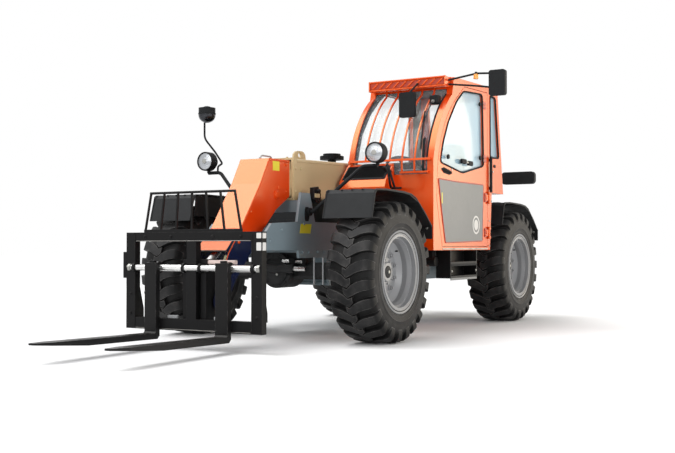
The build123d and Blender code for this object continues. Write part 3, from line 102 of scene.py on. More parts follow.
# ================================================================ node graphs
class Value:
    """One output of a node, which takes part in sums with numbers and other values."""

    def __init__(self, graph: "Graph", socket: bpy.types.NodeSocket) -> None:
        """Wraps a socket of the graph's tree."""
        self.graph = graph
        self.socket = socket

    def out(self, name: str) -> "Value":
        """Another output of the same node."""
        return Value(self.graph, self.socket.node.outputs[name])

    def __add__(self, other: "Value | float") -> "Value":
        """This plus other."""
        return self.graph.maths("ADD", self, other)

    def __radd__(self, other: "Value | float") -> "Value":
        """Other plus this."""
        return self.graph.maths("ADD", other, self)

    def __sub__(self, other: "Value | float") -> "Value":
        """This less other."""
        return self.graph.maths("SUBTRACT", self, other)

    def __rsub__(self, other: "Value | float") -> "Value":
        """Other less this."""
        return self.graph.maths("SUBTRACT", other, self)

    def __mul__(self, other: "Value | float") -> "Value":
        """This times other."""
        return self.graph.maths("MULTIPLY", self, other)

    def __rmul__(self, other: "Value | float") -> "Value":
        """Other times this."""
        return self.graph.maths("MULTIPLY", other, self)

    def __truediv__(self, other: "Value | float") -> "Value":
        """This divided by other."""
        return self.graph.maths("DIVIDE", self, other)

    def __rtruediv__(self, other: "Value | float") -> "Value":
        """Other divided by this."""
        return self.graph.maths("DIVIDE", other, self)

    def __gt__(self, other: "Value | float") -> "Value":
        """1 where this is more than other, or else 0."""
        return self.graph.maths("GREATER_THAN", self, other)

    def __lt__(self, other: "Value | float") -> "Value":
        """1 where this is less than other, or else 0."""
        return self.graph.maths("LESS_THAN", self, other)

    def __abs__(self) -> "Value":
        """This without its sign."""
        return self.graph.maths("ABSOLUTE", self)

    def clamp(self) -> "Value":
        """This held between 0 and 1."""
        return self.graph.maths("MINIMUM", self.graph.maths("MAXIMUM", self, 0.0), 1.0)

    def step(self, low: float, high: float) -> "Value":
        """0 below low, 1 above high and smooth in between, or the other way round where low is the larger."""
        return self.graph.node("ShaderNodeMapRange", {"interpolation_type": "SMOOTHSTEP"},
                               {"Value": self, "From Min": low, "From Max": high})


class Graph:
    """A node tree that is built from Python, for a material, the world or a geometry pattern."""

    def __init__(self, tree: bpy.types.NodeTree) -> None:
        """Starts on an empty tree."""
        self.tree = tree
        tree.nodes.clear()

    def node(self, kind: str, settings: dict[str, Any] | None = None,
             values: dict[str | int, Any] | None = None) -> Value:
        """Adds a node.

        Args:
            kind: The node's type.
            settings: Its properties, set before its sockets; stops are a ramp's (place, colour) pairs.
            values: A number, a colour or a Value for each named or numbered socket.

        Returns:
            The node's first output that is in use.
        """
        made = self.tree.nodes.new(kind)
        for key, setting in (settings or {}).items():
            if key == "stops":
                self._stops(made.color_ramp, setting)
            else:
                setattr(made, key, setting)
        for key, value in (values or {}).items():
            socket = made.inputs[key] if isinstance(key, int) else self._named(made.inputs, key)
            if isinstance(value, Value):
                self.tree.links.new(value.socket, socket)
            elif socket.type == "RGBA":
                socket.default_value = (*value[:3], 1.0)
            else:
                socket.default_value = value
        outputs = [s for s in made.outputs if s.enabled]
        return Value(self, outputs[0]) if outputs else None

    @staticmethod
    def _named(sockets: Iterable[bpy.types.NodeSocket], name: str) -> bpy.types.NodeSocket:
        """The socket of that name that is in use."""
        return next(s for s in sockets if s.name == name and s.enabled)

    @staticmethod
    def _stops(ramp: bpy.types.ColorRamp, stops: Sequence[tuple[float, Colour]]) -> None:
        """Gives a ramp its stops."""
        while len(ramp.elements) < len(stops):
            ramp.elements.new(0.5)
        for element, (place, colour) in zip(ramp.elements, stops):
            element.position = place
            element.color = (*colour, 1.0)

    def maths(self, operation: str, *terms: Value | float) -> Value:
        """A Math node on one to three terms."""
        return self.node("ShaderNodeMath", {"operation": operation}, dict(enumerate(terms)))

    def vector(self, operation: str, *terms: Any) -> Value:
        """A Vector Math node on one to three terms."""
        return self.node("ShaderNodeVectorMath", {"operation": operation}, dict(enumerate(terms)))

    def blend(self, share: Value | float, first: Any, second: Any) -> Value:
        """A colour that goes from first to second as share goes from 0 to 1."""
        made = self.node("ShaderNodeMix", {"data_type": "RGBA"}, {0: share, 6: first, 7: second})
        return Value(self, made.socket.node.outputs[2])

    def place(self) -> Value:
        """The point's place in the row frame, at rest."""
        return self.node("ShaderNodeTexCoord").out("Object")

    def split(self, vector: Value) -> tuple[Value, Value, Value]:
        """A vector's three coordinates."""
        first = self.node("ShaderNodeSeparateXYZ", None, {0: vector})
        return first, first.out("Y"), first.out("Z")

    def noise(self, scale: float, detail: float = 3.0, stretch: Point = (1.0, 1.0, 1.0)) -> Value:
        """Soft noise from 0 to 1, with scale waves to the metre, drawn out along an axis by stretch."""
        spread = self.vector("MULTIPLY", self.place(), stretch)
        return self.node("ShaderNodeTexNoise", None,
                         {"Vector": spread, "Scale": scale, "Detail": detail, "Roughness": 0.6})

    def grains(self, scale: float) -> Value:
        """Distance to the middle of the nearest grain, with scale grains to the metre."""
        return self.node("ShaderNodeTexVoronoi", None, {"Vector": self.place(), "Scale": scale})

    def upward(self) -> Value:
        """How far a surface faces up, from -1 to 1."""
        facing = self.node("ShaderNodeNewGeometry").out("Normal")
        return self.split(facing)[2]

    def rounded(self, radius: float) -> Value:
        """The normal of a surface whose edges are rounded off to a radius."""
        return self.node("ShaderNodeBevel", {"samples": 4}, {"Radius": radius})

    def edges(self, radius: float) -> Value:
        """1 along the edges of a piece and 0 on its faces."""
        facing = self.node("ShaderNodeNewGeometry").out("Normal")
        same = self.vector("DOT_PRODUCT", self.rounded(radius), facing).out("Value")
        return ((0.985 - same) * 9.0).clamp()

    def bump(self, height: Value, depth: float, normal: Value | None = None) -> Value:
        """The normal of a surface that rises by depth metres as height goes from 0 to 1."""
        values: dict[str | int, Any] = {"Height": height, "Distance": depth, "Strength": 1.0}
        if normal is not None:
            values["Normal"] = normal
        return self.node("ShaderNodeBump", None, values)


# ================================================================ finishes
class Finish:
    """A procedural material. A subclass says what it looks like in shade()."""

    name: str

    def shade(self, graph: Graph) -> dict[str, Any]:
        """The values of the Principled shader's sockets."""
        raise NotImplementedError

    def material(self) -> bpy.types.Material:
        """The finish as a Blender material, made once."""
        found = bpy.data.materials.get(self.name)
        if found is not None:
            return found
        made = bpy.data.materials.new(self.name)
        made.use_nodes = True
        graph = Graph(made.node_tree)
        shader = graph.node("ShaderNodeBsdfPrincipled", None, self.shade(graph))
        graph.node("ShaderNodeOutputMaterial", None, {"Surface": shader})
        return made


@dataclass(frozen=True)
class Paint(Finish):
    """Sprayed paint over metal, with dust on what faces up and wear along the edges.

    Attributes:
        gloss: The strength of the mirror-like reflection.
        glint: The tint of that reflection.
        foot: The colour of the painted shade low down, where the part lies in shadow; bluer than it looks, as the
            glint's warm tint adds to it.
        painted_shade_z: The height below which the foot's tone shows, or less than zero for none.
        painted_shade_rise: How much higher it reaches on faces that look sideways.
    """

    name: str
    colour: Colour
    worn: Colour
    dust: Colour = srgb(190, 180, 165)
    roughness: float = 0.32
    coat: float = 0.5
    wear: float = 0.35
    dusty: float = 0.12
    peel: float = 0.00012
    gloss: float = 0.5
    glint: Colour = (1.0, 1.0, 1.0)
    foot: Colour = (0.004, 0.009, 0.040)
    painted_shade_z: float = -1.0
    painted_shade_rise: float = 0.0

    def shade(self, graph: Graph) -> dict[str, Any]:
        """Paint that drifts in tone, chips at the edges and gathers dust, with painted shade low down that reaches
        higher up on its sides.
        """
        drift = graph.noise(1.3, 4.0)
        cloud = graph.noise(23.0, 5.0)
        shade = tuple(c * 0.82 for c in self.colour)
        tone = graph.blend((drift * 1.6 - 0.4).clamp(), shade, self.colour)
        # Painted shade: below the set height the tone turns to the foot colour, and on faces that look sideways it
        # starts higher.
        if self.painted_shade_z > 0.0:
            height = graph.split(graph.place())[2]
            across = graph.split(graph.node("ShaderNodeNewGeometry").out("Normal"))[0]
            height = height - ((across > 0.7) + (across < -0.7)) * self.painted_shade_rise
            tone = graph.blend(height.step(self.painted_shade_z + 0.002, self.painted_shade_z - 0.002), tone, self.foot)
        settled = (graph.upward() * cloud * self.dusty * 2.0 + graph.noise(4.0, 6.0) * self.dusty * 0.35).clamp()
        dusted = graph.blend(settled, tone, self.dust)
        chipped = graph.edges(0.004) * cloud.step(0.42, 0.62) * self.wear
        return {
            "Base Color": graph.blend(chipped, dusted, self.worn),
            "Roughness": self.roughness + cloud * self.roughness * 0.3 + settled * 0.3,
            "Normal": graph.bump(graph.noise(420.0, 2.0), self.peel, graph.rounded(0.003)),
            "Specular IOR Level": self.gloss,
            "Specular Tint": self.glint,
            "Coat Weight": self.coat,
            "Coat Roughness": 0.12,
        }


@dataclass(frozen=True)
class CabInsidePaint(Paint):
    """Sprayed paint outside, and a dark tone on the faces between two corners that don't look forward, inside the cab.
    """

    low: Point = (0.250, -0.60, 0.80)
    high: Point = (1.045, 0.84, 2.385)
    inside_tone: Colour = (0.010, 0.014, 0.050)
    roof_z: float = 2.15

    def shade(self, graph: Graph) -> dict[str, Any]:
        """The paint, turned to the dark inside tone where a face looks into the cab."""
        values = super().shade(graph)
        facing = graph.split(graph.node("ShaderNodeNewGeometry").out("Normal"))
        places = graph.split(graph.place())
        inside = (facing[1] > -0.5) * ((facing[2] < 0.5) + (places[2] < self.roof_z)).clamp()
        for place, low, high in zip(places, self.low, self.high):
            inside = inside * (place > low) * (place < high)
        values["Base Color"] = graph.blend(inside, values["Base Color"], self.inside_tone)
        values["Roughness"] = values["Roughness"] + inside * 0.5
        return values


@dataclass(frozen=True)
class Moulding(Finish):
    """Moulded plastic or rubber with a fine grain."""

    name: str
    colour: Colour
    faded: Colour
    roughness: float = 0.55
    grain: float = 900.0
    depth: float = 0.00025
    gloss: float = 0.14

    def shade(self, graph: Graph) -> dict[str, Any]:
        """A grained surface, a little faded where it faces up and along its edges."""
        fade = graph.noise(6.0, 5.0) * 0.5 + graph.upward() * 0.18 + graph.edges(0.003) * 0.35
        return {
            "Base Color": graph.blend(fade.clamp(), self.colour, self.faded),
            "Roughness": self.roughness + graph.noise(31.0, 4.0) * 0.16,
            "Normal": graph.bump(graph.grains(self.grain), self.depth, graph.rounded(0.002)),
            "Specular IOR Level": self.gloss,
        }


@dataclass(frozen=True)
class TyreRubber(Finish):
    """Tyre rubber: matt black with pale dust worked into it and fine moulding marks."""

    name: str = "tyre_rubber"
    colour: Colour = srgb(20, 20, 21)
    dust: Colour = srgb(96, 94, 92)
    # The near-black colour of the painted shade between the lugs.
    groove_shade: Colour = srgb(5, 5, 5)
    axle: Flat = (1.425, 0.585)

    def shade(self, graph: Graph) -> dict[str, Any]:
        """Rubber whose raised edges turn pale, partly as wear and partly as painted highlight, and whose grooves
        between the lugs are darkened as painted shade.
        """
        cloud = graph.noise(9.0, 6.0)
        # The pale edges are partly worn rubber and partly painted highlight along the lugs' edges.
        scuffs_and_highlights = graph.edges(0.009) * cloud.step(0.25, 0.6) * 0.9
        dust = (cloud.step(0.35, 0.8) * 0.25 + scuffs_and_highlights).clamp()
        # Painted shade: the casing between the lugs, found by its distance from the axle, turns near-black.
        _, along, height = graph.split(graph.place())
        along, height = abs(along) - self.axle[0], height - self.axle[1]
        reach = graph.maths("SQRT", along * along + height * height)
        deep = reach.step(0.480, 0.505) * reach.step(0.578, 0.556)
        return {
            "Base Color": graph.blend(deep * 0.85, graph.blend(dust, self.colour, self.dust), self.groove_shade),
            "Roughness": 0.46 + cloud * 0.2,
            "Normal": graph.bump(graph.noise(260.0, 5.0), 0.0006, graph.rounded(0.004)),
            "Specular IOR Level": 0.2,
        }


@dataclass(frozen=True)
class Metal(Finish):
    """Bare metal: cast, brushed or chromed."""

    name: str
    colour: Colour
    dull: Colour
    roughness: float = 0.25
    metallic: float = 1.0
    stretch: Point = (1.0, 1.0, 1.0)
    grain: float = 60.0
    depth: float = 0.0001

    def shade(self, graph: Graph) -> dict[str, Any]:
        """Metal with a film of grime that dulls it in patches."""
        grime = graph.noise(11.0, 6.0).step(0.45, 0.85)
        brushed = graph.noise(self.grain, 4.0, self.stretch)
        return {
            "Base Color": graph.blend(grime * 0.7, self.colour, self.dull),
            "Metallic": self.metallic - grime * 0.3 * self.metallic,
            "Roughness": self.roughness + brushed * 0.15 + grime * 0.25,
            "Normal": graph.bump(brushed, self.depth, graph.rounded(0.002)),
        }


@dataclass(frozen=True)
class Glazing(Finish):
    """Cab glass: a clear pane under a thin pale layer of painted sky reflection, with dust."""

    name: str
    tint: Colour
    sky_reflection: float = 0.3

    def shade(self, graph: Graph) -> dict[str, Any]:
        """A pane whose pale painted reflection is a little thicker in smears of dust."""
        smear = graph.noise(1.2, 2.0)
        return {
            # The pale colour over the glass's tint, and its opacity, are painted reflection of the sky.
            "Base Color": graph.blend(smear * 0.5, self.tint, (0.85, 0.93, 0.96)),
            "Alpha": self.sky_reflection + smear * 0.05,
            "Roughness": 0.02 + smear * 0.04,
            "IOR": 1.5,
            "Specular IOR Level": 0.8,
        }


@dataclass(frozen=True)
class Lens(Finish):
    """A lamp's lens: clear or coloured plastic with fluted optics."""

    name: str
    colour: Colour
    deep: Colour
    flutes: float = 160.0
    across: Point = (1.0, 0.0, 0.0)
    metallic: float = 0.0

    def shade(self, graph: Graph) -> dict[str, Any]:
        """Flutes across the lens, darker between them."""
        line = graph.vector("DOT_PRODUCT", graph.place(), self.across).out("Value")
        wave = graph.maths("SINE", line * self.flutes * math.tau) * 0.5 + 0.5
        return {
            "Base Color": graph.blend(wave * 0.6 + graph.noise(40.0) * 0.2, self.colour, self.deep),
            "Roughness": 0.06 + wave * 0.05,
            "Metallic": self.metallic,
            "Normal": graph.bump(wave, 0.0006),
            "Coat Weight": 0.8,
        }


@dataclass(frozen=True)
class Cloth(Finish):
    """Woven seat cloth."""

    name: str
    colour: Colour
    thread: Colour
    weave: float = 420.0

    def shade(self, graph: Graph) -> dict[str, Any]:
        """Two sets of threads that cross, lighter on top of each."""
        across, along, up = graph.split(graph.place())
        first = graph.maths("SINE", (across + up * 0.4) * self.weave * math.tau)
        second = graph.maths("SINE", (along + up) * self.weave * math.tau)
        threads = (first * second * 0.5 + 0.5).clamp()
        return {
            "Base Color": graph.blend(threads * 0.7 + graph.noise(8.0) * 0.3, self.colour, self.thread),
            "Roughness": 0.85 + graph.noise(50.0) * 0.1,
            "Normal": graph.bump(threads, 0.0004),
            "Sheen Weight": 0.3,
        }


ENAMEL_RED = srgb(228, 66, 3)
WORN_ORANGE = srgb(110, 60, 36)
YELLOW_GLINT = (1.0, 0.9, 0.42)
FINE_PEEL = 0.00001
ORANGE = Paint("orange_enamel", ENAMEL_RED, WORN_ORANGE, roughness=0.2, coat=0.0, wear=0.12, dusty=0.015, gloss=1.0,
               peel=FINE_PEEL, glint=YELLOW_GLINT)
# The head's enamel carries painted shade on its lower part, reaching higher up its sides.
HEAD_ORANGE = Paint("head_enamel", srgb(226, 60, 3), WORN_ORANGE, roughness=0.2, coat=0.0, wear=0.2, dusty=0.01,
                    gloss=1.0, peel=FINE_PEEL, glint=YELLOW_GLINT, painted_shade_z=0.755, painted_shade_rise=0.105)
CAB_ORANGE = CabInsidePaint("cab_enamel", ENAMEL_RED, WORN_ORANGE, roughness=0.2, coat=0.0, wear=0.12, dusty=0.015,
                        gloss=1.0, peel=FINE_PEEL, glint=YELLOW_GLINT)
TAN = Paint("tan_enamel", srgb(206, 182, 138), srgb(120, 102, 74), roughness=0.38, coat=0.1, dusty=0.04)
SLATE = Paint("slate_enamel", srgb(122, 138, 145), srgb(130, 136, 138), roughness=0.42, coat=0.1, dusty=0.04)
BLACK = Paint("black_enamel", srgb(19, 19, 20), srgb(84, 82, 80), roughness=0.36, coat=0.0, dusty=0.012, gloss=0.12)
GRAPHITE = Paint("graphite_enamel", srgb(44, 46, 48), srgb(100, 98, 95), roughness=0.42, coat=0.0, dusty=0.02,
                 gloss=0.15)
FORK_BLACK = Paint("fork_enamel", srgb(17, 17, 18), srgb(120, 118, 115), roughness=0.34, coat=0.0, wear=0.7, dusty=0.02,
                   gloss=0.15)
SILVER = Paint("silver_enamel", srgb(140, 141, 143), srgb(84, 82, 80), roughness=0.34, coat=0.2, dusty=0.04)
PALE = Paint("pale_enamel", srgb(236, 212, 204), srgb(160, 130, 122), roughness=0.34, coat=0.3, dusty=0.02)
# A darker copy of the orange enamel, used as painted shade.
SHADED_ORANGE = Paint("shaded_orange_enamel", srgb(176, 48, 10), srgb(96, 50, 34), coat=0.0, dusty=0.02, gloss=0.6)
PANEL_GREY = Paint("panel_grey_enamel", srgb(116, 118, 118), srgb(110, 108, 104), roughness=0.44, coat=0.1, dusty=0.04)
CASTING = Metal("grey_casting", srgb(26, 27, 28), srgb(18, 18, 17), 0.5, 0.3, grain=140.0, depth=0.0006)
CHROME = Metal("hard_chrome", srgb(222, 222, 220), srgb(170, 168, 166), 0.2, depth=0.000002)
ZINC = Metal("zinc_plate", srgb(160, 160, 156), srgb(110, 106, 98), 0.36, depth=0.00002)
STEEL = Metal("worn_steel", srgb(150, 148, 144), srgb(92, 86, 80), 0.34, stretch=(1.0, 0.05, 1.0))
DARK_CHROME = Metal("dark_chrome", srgb(60, 61, 64), srgb(34, 34, 36), 0.12, depth=0.00001)
MIRROR = Metal("mirror_glass", srgb(236, 238, 240), srgb(214, 216, 218), 0.01, depth=0.000001)
PLASTIC = Moulding("black_moulding", srgb(16, 17, 18), srgb(46, 48, 50))
FENDER_PLASTIC = Moulding("fender_moulding", srgb(19, 20, 21), srgb(48, 50, 52), roughness=0.42, gloss=0.18)
GREY_PLASTIC = Moulding("grey_moulding", srgb(150, 152, 154), srgb(186, 187, 188), roughness=0.42, gloss=0.5)
SEAL = Moulding("rubber_seal", srgb(18, 18, 19), srgb(52, 52, 52), roughness=0.7, grain=400.0)
HOSE = Moulding("pale_hose", srgb(150, 150, 148), srgb(186, 186, 182), roughness=0.5, grain=600.0, gloss=0.4)
TYRE = TyreRubber()
GLASS = Glazing("cab_glass_tint", srgb(206, 228, 234), 0.08)
# The side glass is a mostly opaque pale blue: painted reflection of the sky.
SIDE_GLASS = Glazing("side_glass_tint", srgb(160, 202, 220), 0.5)
CLEAR_LENS = Lens("clear_lens", srgb(205, 208, 212), srgb(96, 100, 104), metallic=0.8)
AMBER_LENS = Lens("amber_lens", srgb(250, 170, 20), srgb(200, 100, 0))
RED_LENS = Lens("red_lens", srgb(190, 16, 16), srgb(90, 4, 4))
SEAT_CLOTH = Cloth("seat_cloth", srgb(30, 31, 34), srgb(86, 88, 92))
WHITE_LABEL = Moulding("white_label", srgb(206, 205, 202), srgb(184, 182, 178), roughness=0.4, depth=0.00003, gloss=0.4)
YELLOW_LABEL = Moulding("yellow_label", srgb(232, 214, 40), srgb(196, 184, 70), roughness=0.4, depth=0.00003, gloss=0.4)


# ================================================================ meshes
def inset(outline: Sequence[Flat], by: float) -> list[Flat]:
    """A closed outline moved inwards.

    Args:
        outline: Its corners, either way round.
        by: How far each side moves.

    Returns:
        The corners of the smaller outline.
    """
    turning = sum(a[0] * b[1] - b[0] * a[1] for a, b in zip(outline, [*outline[1:], outline[0]]))
    way = math.copysign(1.0, turning)
    moved = []
    for before, here, after in zip([outline[-1], *outline[:-1]], outline, [*outline[1:], outline[0]]):
        first = (Vector(here) - Vector(before)).normalized()
        second = (Vector(after) - Vector(here)).normalized()
        mid = Vector((-first.y - second.y, first.x + second.x)) * way
        mid = mid.normalized() * by / max(0.3, math.cos(first.angle(second, 0.0) / 2))
        moved.append((here[0] + mid.x, here[1] + mid.y))
    return moved


def bent(points: Sequence[Point], bend: float, steps: int = 6) -> list[Vector]:
    """A path with its corners rounded.

    Args:
        points: The path's corners.
        bend: How far from each corner its curve starts.
        steps: Pieces in each curve.

    Returns:
        The points of the smooth path.
    """
    corners = [Vector(p) for p in points]
    path = [corners[0]]
    for before, here, after in zip(corners, corners[1:], corners[2:]):
        reach = min(bend, (before - here).length * 0.49, (after - here).length * 0.49)
        start = here + (before - here).normalized() * reach
        end = here + (after - here).normalized() * reach
        for step in range(steps + 1):
            t = step / steps
            path.append(start.lerp(here, t).lerp(here.lerp(end, t), t))
    return [*path, corners[-1]]


def circle(centre: Vector, first: Vector, second: Vector, radius: float, sides: int) -> list[Vector]:
    """The corners of a round section that is spanned by two directions."""
    turns = (math.tau * i / sides for i in range(sides))
    return [centre + (first * math.cos(t) + second * math.sin(t)) * radius for t in turns]


class Form:
    """Gathers shapes into one mesh, in which each face has a finish."""

    def __init__(self, name: str) -> None:
        """Starts empty."""
        self.name = name
        self.mesh = bmesh.new()
        self.finishes: list[Finish] = []
        self.place = Matrix.Identity(4)

    def index(self, finish: Finish) -> int:
        """The material slot of a finish in this mesh."""
        if finish not in self.finishes:
            self.finishes.append(finish)
        return self.finishes.index(finish)

    def skin(self, rings: Sequence[Sequence[Vector]], finish: Finish, looped: bool = False,
             capped: bool = True) -> None:
        """A skin over rings of corners.

        Args:
            rings: The rings in order, each with the same number of corners.
            finish: The skin's finish.
            looped: Whether the last ring joins the first.
            capped: Whether the end rings are closed by a face.
        """
        layers = [[self.mesh.verts.new(self.place @ Vector(p)) for p in ring] for ring in rings]
        if looped:
            layers.append(layers[0])
        slot = self.index(finish)
        for low, high in zip(layers, layers[1:]):
            for i in range(len(low)):
                j = (i + 1) % len(low)
                self.mesh.faces.new((low[i], low[j], high[j], high[i])).material_index = slot
        if capped and not looped:
            self.mesh.faces.new(layers[0][::-1]).material_index = slot
            self.mesh.faces.new(layers[-1]).material_index = slot

    def prism(self, outline: Sequence[Flat], bearing: Bearing, ends: Flat, finish: Finish,
              edge: float = 0.002) -> None:
        """A flat outline pulled along an axis, with its edges broken.

        Args:
            outline: The outline's corners.
            bearing: The axis that it's pulled along.
            ends: Where it starts and ends on the axis.
            finish: Its finish.
            edge: The width of the broken edges.
        """
        low, high = min(ends), max(ends)
        edge = min(edge, (high - low) * 0.45)
        small = inset(outline, edge)
        rows = ((small, low), (outline, low + edge), (outline, high - edge), (small, high))
        self.skin([[bearing.lift(p, at) for p in flat] for flat, at in rows], finish)

    def slab(self, low: Point, high: Point, finish: Finish, edge: float = 0.003, bearing: Bearing = Bearing.Z) -> None:
        """A box with cut corners and broken edges, between two opposite corners."""
        axes = [i for i in range(3) if i != "xyz".index(bearing.value)]
        (a, b), (c, d) = ((low[i], high[i]) for i in axes)
        e = min(edge, abs(b - a) * 0.4, abs(d - c) * 0.4)
        outline = ((a + e, c), (b - e, c), (b, c + e), (b, d - e), (b - e, d), (a + e, d), (a, d - e), (a, c + e))
        at = "xyz".index(bearing.value)
        self.prism(outline, bearing, (low[at], high[at]), finish, e * 0.6)

    def tube(self, path: Sequence[Vector], radius: float, finish: Finish, sides: int = 12,
             looped: bool = False) -> None:
        """A round bar or a hose along a path.

        Args:
            path: The points of its middle line.
            radius: Its radius.
            finish: Its finish.
            sides: Corners in its section.
            looped: Whether the path is closed.
        """
        points = [Vector(p) for p in path]
        rings = []
        side = None
        for i, point in enumerate(points):
            before = points[i - 1] if i or looped else point
            after = points[(i + 1) % len(points)] if i < len(points) - 1 or looped else point
            ahead = (after - before).normalized()
            side = ahead.orthogonal() if side is None else side - ahead * side.dot(ahead)
            side.normalize()
            rings.append(circle(point, side, ahead.cross(side), radius, sides))
        self.skin(rings, finish, looped)

    def rod(self, start: Point, end: Point, radius: float, finish: Finish, sides: int = 20,
            edge: float = 0.0015) -> None:
        """A straight round bar with chamfered ends."""
        a, b = Vector(start), Vector(end)
        ahead = (b - a).normalized()
        side = ahead.orthogonal().normalized()
        across = ahead.cross(side)
        rows = ((a, radius - edge), (a + ahead * edge, radius), (b - ahead * edge, radius), (b, radius - edge))
        self.skin([circle(p, side, across, r, sides) for p, r in rows], finish)

    def turned(self, profile: Sequence[Flat], centre: Point, axis: Point, finish: Finish, sides: int = 32,
               looped: bool = False) -> None:
        """A profile turned about an axis.

        Args:
            profile: Rows of place along the axis and radius.
            centre: The axis's zero point.
            axis: Its direction.
            finish: The finish.
            sides: Corners in each ring.
            looped: Whether the profile is closed, as it is for a ring.
        """
        ahead = Vector(axis).normalized()
        side = ahead.orthogonal().normalized()
        across = ahead.cross(side)
        rings = [circle(Vector(centre) + ahead * s, side, across, max(r, 0.0004), sides) for s, r in profile]
        self.skin(rings, finish, looped)

    def plate(self, outline: Sequence[Point], thick: float, finish: Finish) -> None:
        """A flat plate over an outline in space, which it stands on by its thickness on both sides."""
        points = [Vector(p) for p in outline]
        normal = (points[1] - points[0]).cross(points[2] - points[1]).normalized()
        middle = sum(points, Vector()) / len(points)
        small = [p + (middle - p).normalized() * thick * 0.7 for p in points]
        rows = ((small, -thick), (points, -thick * 0.4), (points, thick * 0.4), (small, thick))
        self.skin([[p + normal * by for p in ring] for ring, by in rows], finish)

    def take(self, mesh: bpy.types.Mesh, finish: Finish) -> None:
        """Adds the faces of a mesh that's already made, and removes the mesh."""
        first = len(self.mesh.faces)
        self.mesh.from_mesh(mesh)
        self.mesh.faces.ensure_lookup_table()
        slot = self.index(finish)
        for face in self.mesh.faces[first:]:
            face.material_index = slot
        bpy.data.meshes.remove(mesh)

    def bare(self) -> bpy.types.Object:
        """The shapes as an object that belongs to no body yet, for a pattern to repeat."""
        bmesh.ops.recalc_face_normals(self.mesh, faces=self.mesh.faces)
        mesh = bpy.data.meshes.new(self.name)
        self.mesh.to_mesh(mesh)
        self.mesh.free()
        for finish in self.finishes:
            mesh.materials.append(finish.material())
        for face in mesh.polygons:
            face.use_smooth = True
        mesh.set_sharp_from_angle(angle=math.radians(34))
        made = bpy.data.objects.new(self.name, mesh)
        bpy.context.scene.collection.objects.link(made)
        return made

    def done(self, body: str, slot: str, replaces: Sequence[str] = ()) -> bpy.types.Object:
        """Makes the piece and puts it on its body.

        Args:
            body: The CAD body that it rides on.
            slot: The record's material slot meant for most of it; not used.
            replaces: The CAD nodes that it stands for.

        Returns:
            The finished piece.
        """
        made = self.bare()
        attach(made, body)
        for node in replaces:
            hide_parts(node)
        LOG.info("%s: %d faces on %s", self.name, len(made.data.polygons), body)
        return made


class Pattern:
    """A Geometry Nodes tree that repeats a shape, with named inputs."""

    def __init__(self, name: str, inputs: dict[str, str]) -> None:
        """Makes the tree's sockets.

        Args:
            name: The tree's name.
            inputs: The kind of each named input socket.
        """
        self.tree = bpy.data.node_groups.new(name, "GeometryNodeTree")
        face = self.tree.interface
        face.new_socket("Geometry", in_out="INPUT", socket_type="NodeSocketGeometry")
        for key, kind in {"Shape": "NodeSocketObject", "Finish": "NodeSocketMaterial", **inputs}.items():
            face.new_socket(key, in_out="INPUT", socket_type=kind)
        face.new_socket("Geometry", in_out="OUTPUT", socket_type="NodeSocketGeometry")
        self.graph = Graph(self.tree)
        self.given = self.graph.node("NodeGroupInput")
        self.draw()

    def draw(self) -> None:
        """Adds the nodes between the tree's inputs and its output."""
        raise NotImplementedError

    def repeat(self, points: Value, rotation: Value | None = None) -> None:
        """Ends the tree: the shape at each point, made real and given its finish."""
        shape = self.graph.node("GeometryNodeObjectInfo", None, {"Object": self.given.out("Shape")}).out("Geometry")
        values: dict[str | int, Any] = {"Points": points, "Instance": shape}
        if rotation is not None:
            values["Rotation"] = rotation
        placed = self.graph.node("GeometryNodeInstanceOnPoints", None, values)
        real = self.graph.node("GeometryNodeRealizeInstances", None, {"Geometry": placed})
        dressed = self.graph.node("GeometryNodeSetMaterial", None,
                                  {"Geometry": real, "Material": self.given.out("Finish")})
        self.graph.node("NodeGroupOutput", None, {"Geometry": dressed})

    def grow(self, form: Form, shape: Form, finish: Finish, values: dict[str, Any],
             host: bpy.types.Mesh | None = None) -> None:
        """Runs the pattern and adds what it makes to a form.

        Args:
            form: The form that takes the result.
            shape: The shape to repeat.
            finish: The finish of every copy.
            values: The tree's other inputs by name.
            host: The mesh whose points carry the copies, where the pattern needs one.
        """
        one = shape.bare()
        carrier = bpy.data.objects.new("carrier", host or bpy.data.meshes.new("carrier"))
        bpy.context.scene.collection.objects.link(carrier)
        modifier = carrier.modifiers.new("repeat", "NODES")
        modifier.node_group = self.tree
        given = {"Shape": one, "Finish": finish.material(), **values}
        for item in self.tree.interface.items_tree:
            if item.in_out == "INPUT" and item.name in given:
                modifier[item.identifier] = given[item.name]
        bpy.context.view_layer.update()
        graph = bpy.context.evaluated_depsgraph_get()
        mesh = bpy.data.meshes.new_from_object(carrier.evaluated_get(graph))
        carrier.modifiers.remove(modifier)
        bpy.data.objects.remove(carrier)
        bpy.data.objects.remove(one)
        form.take(mesh, finish)


class RowPattern(Pattern):
    """Copies in a straight row: slats, ribs, bars and treads."""

    def __init__(self) -> None:
        """Names the row's inputs."""
        super().__init__("row", {"Count": "NodeSocketInt", "Start": "NodeSocketVector", "Step": "NodeSocketVector"})

    def draw(self) -> None:
        """A line of points."""
        given = self.given
        line = self.graph.node("GeometryNodeMeshLine", {"mode": "OFFSET"},
                               {"Count": given.out("Count"), "Start Location": given.out("Start"),
                                "Offset": given.out("Step")})
        self.repeat(line)


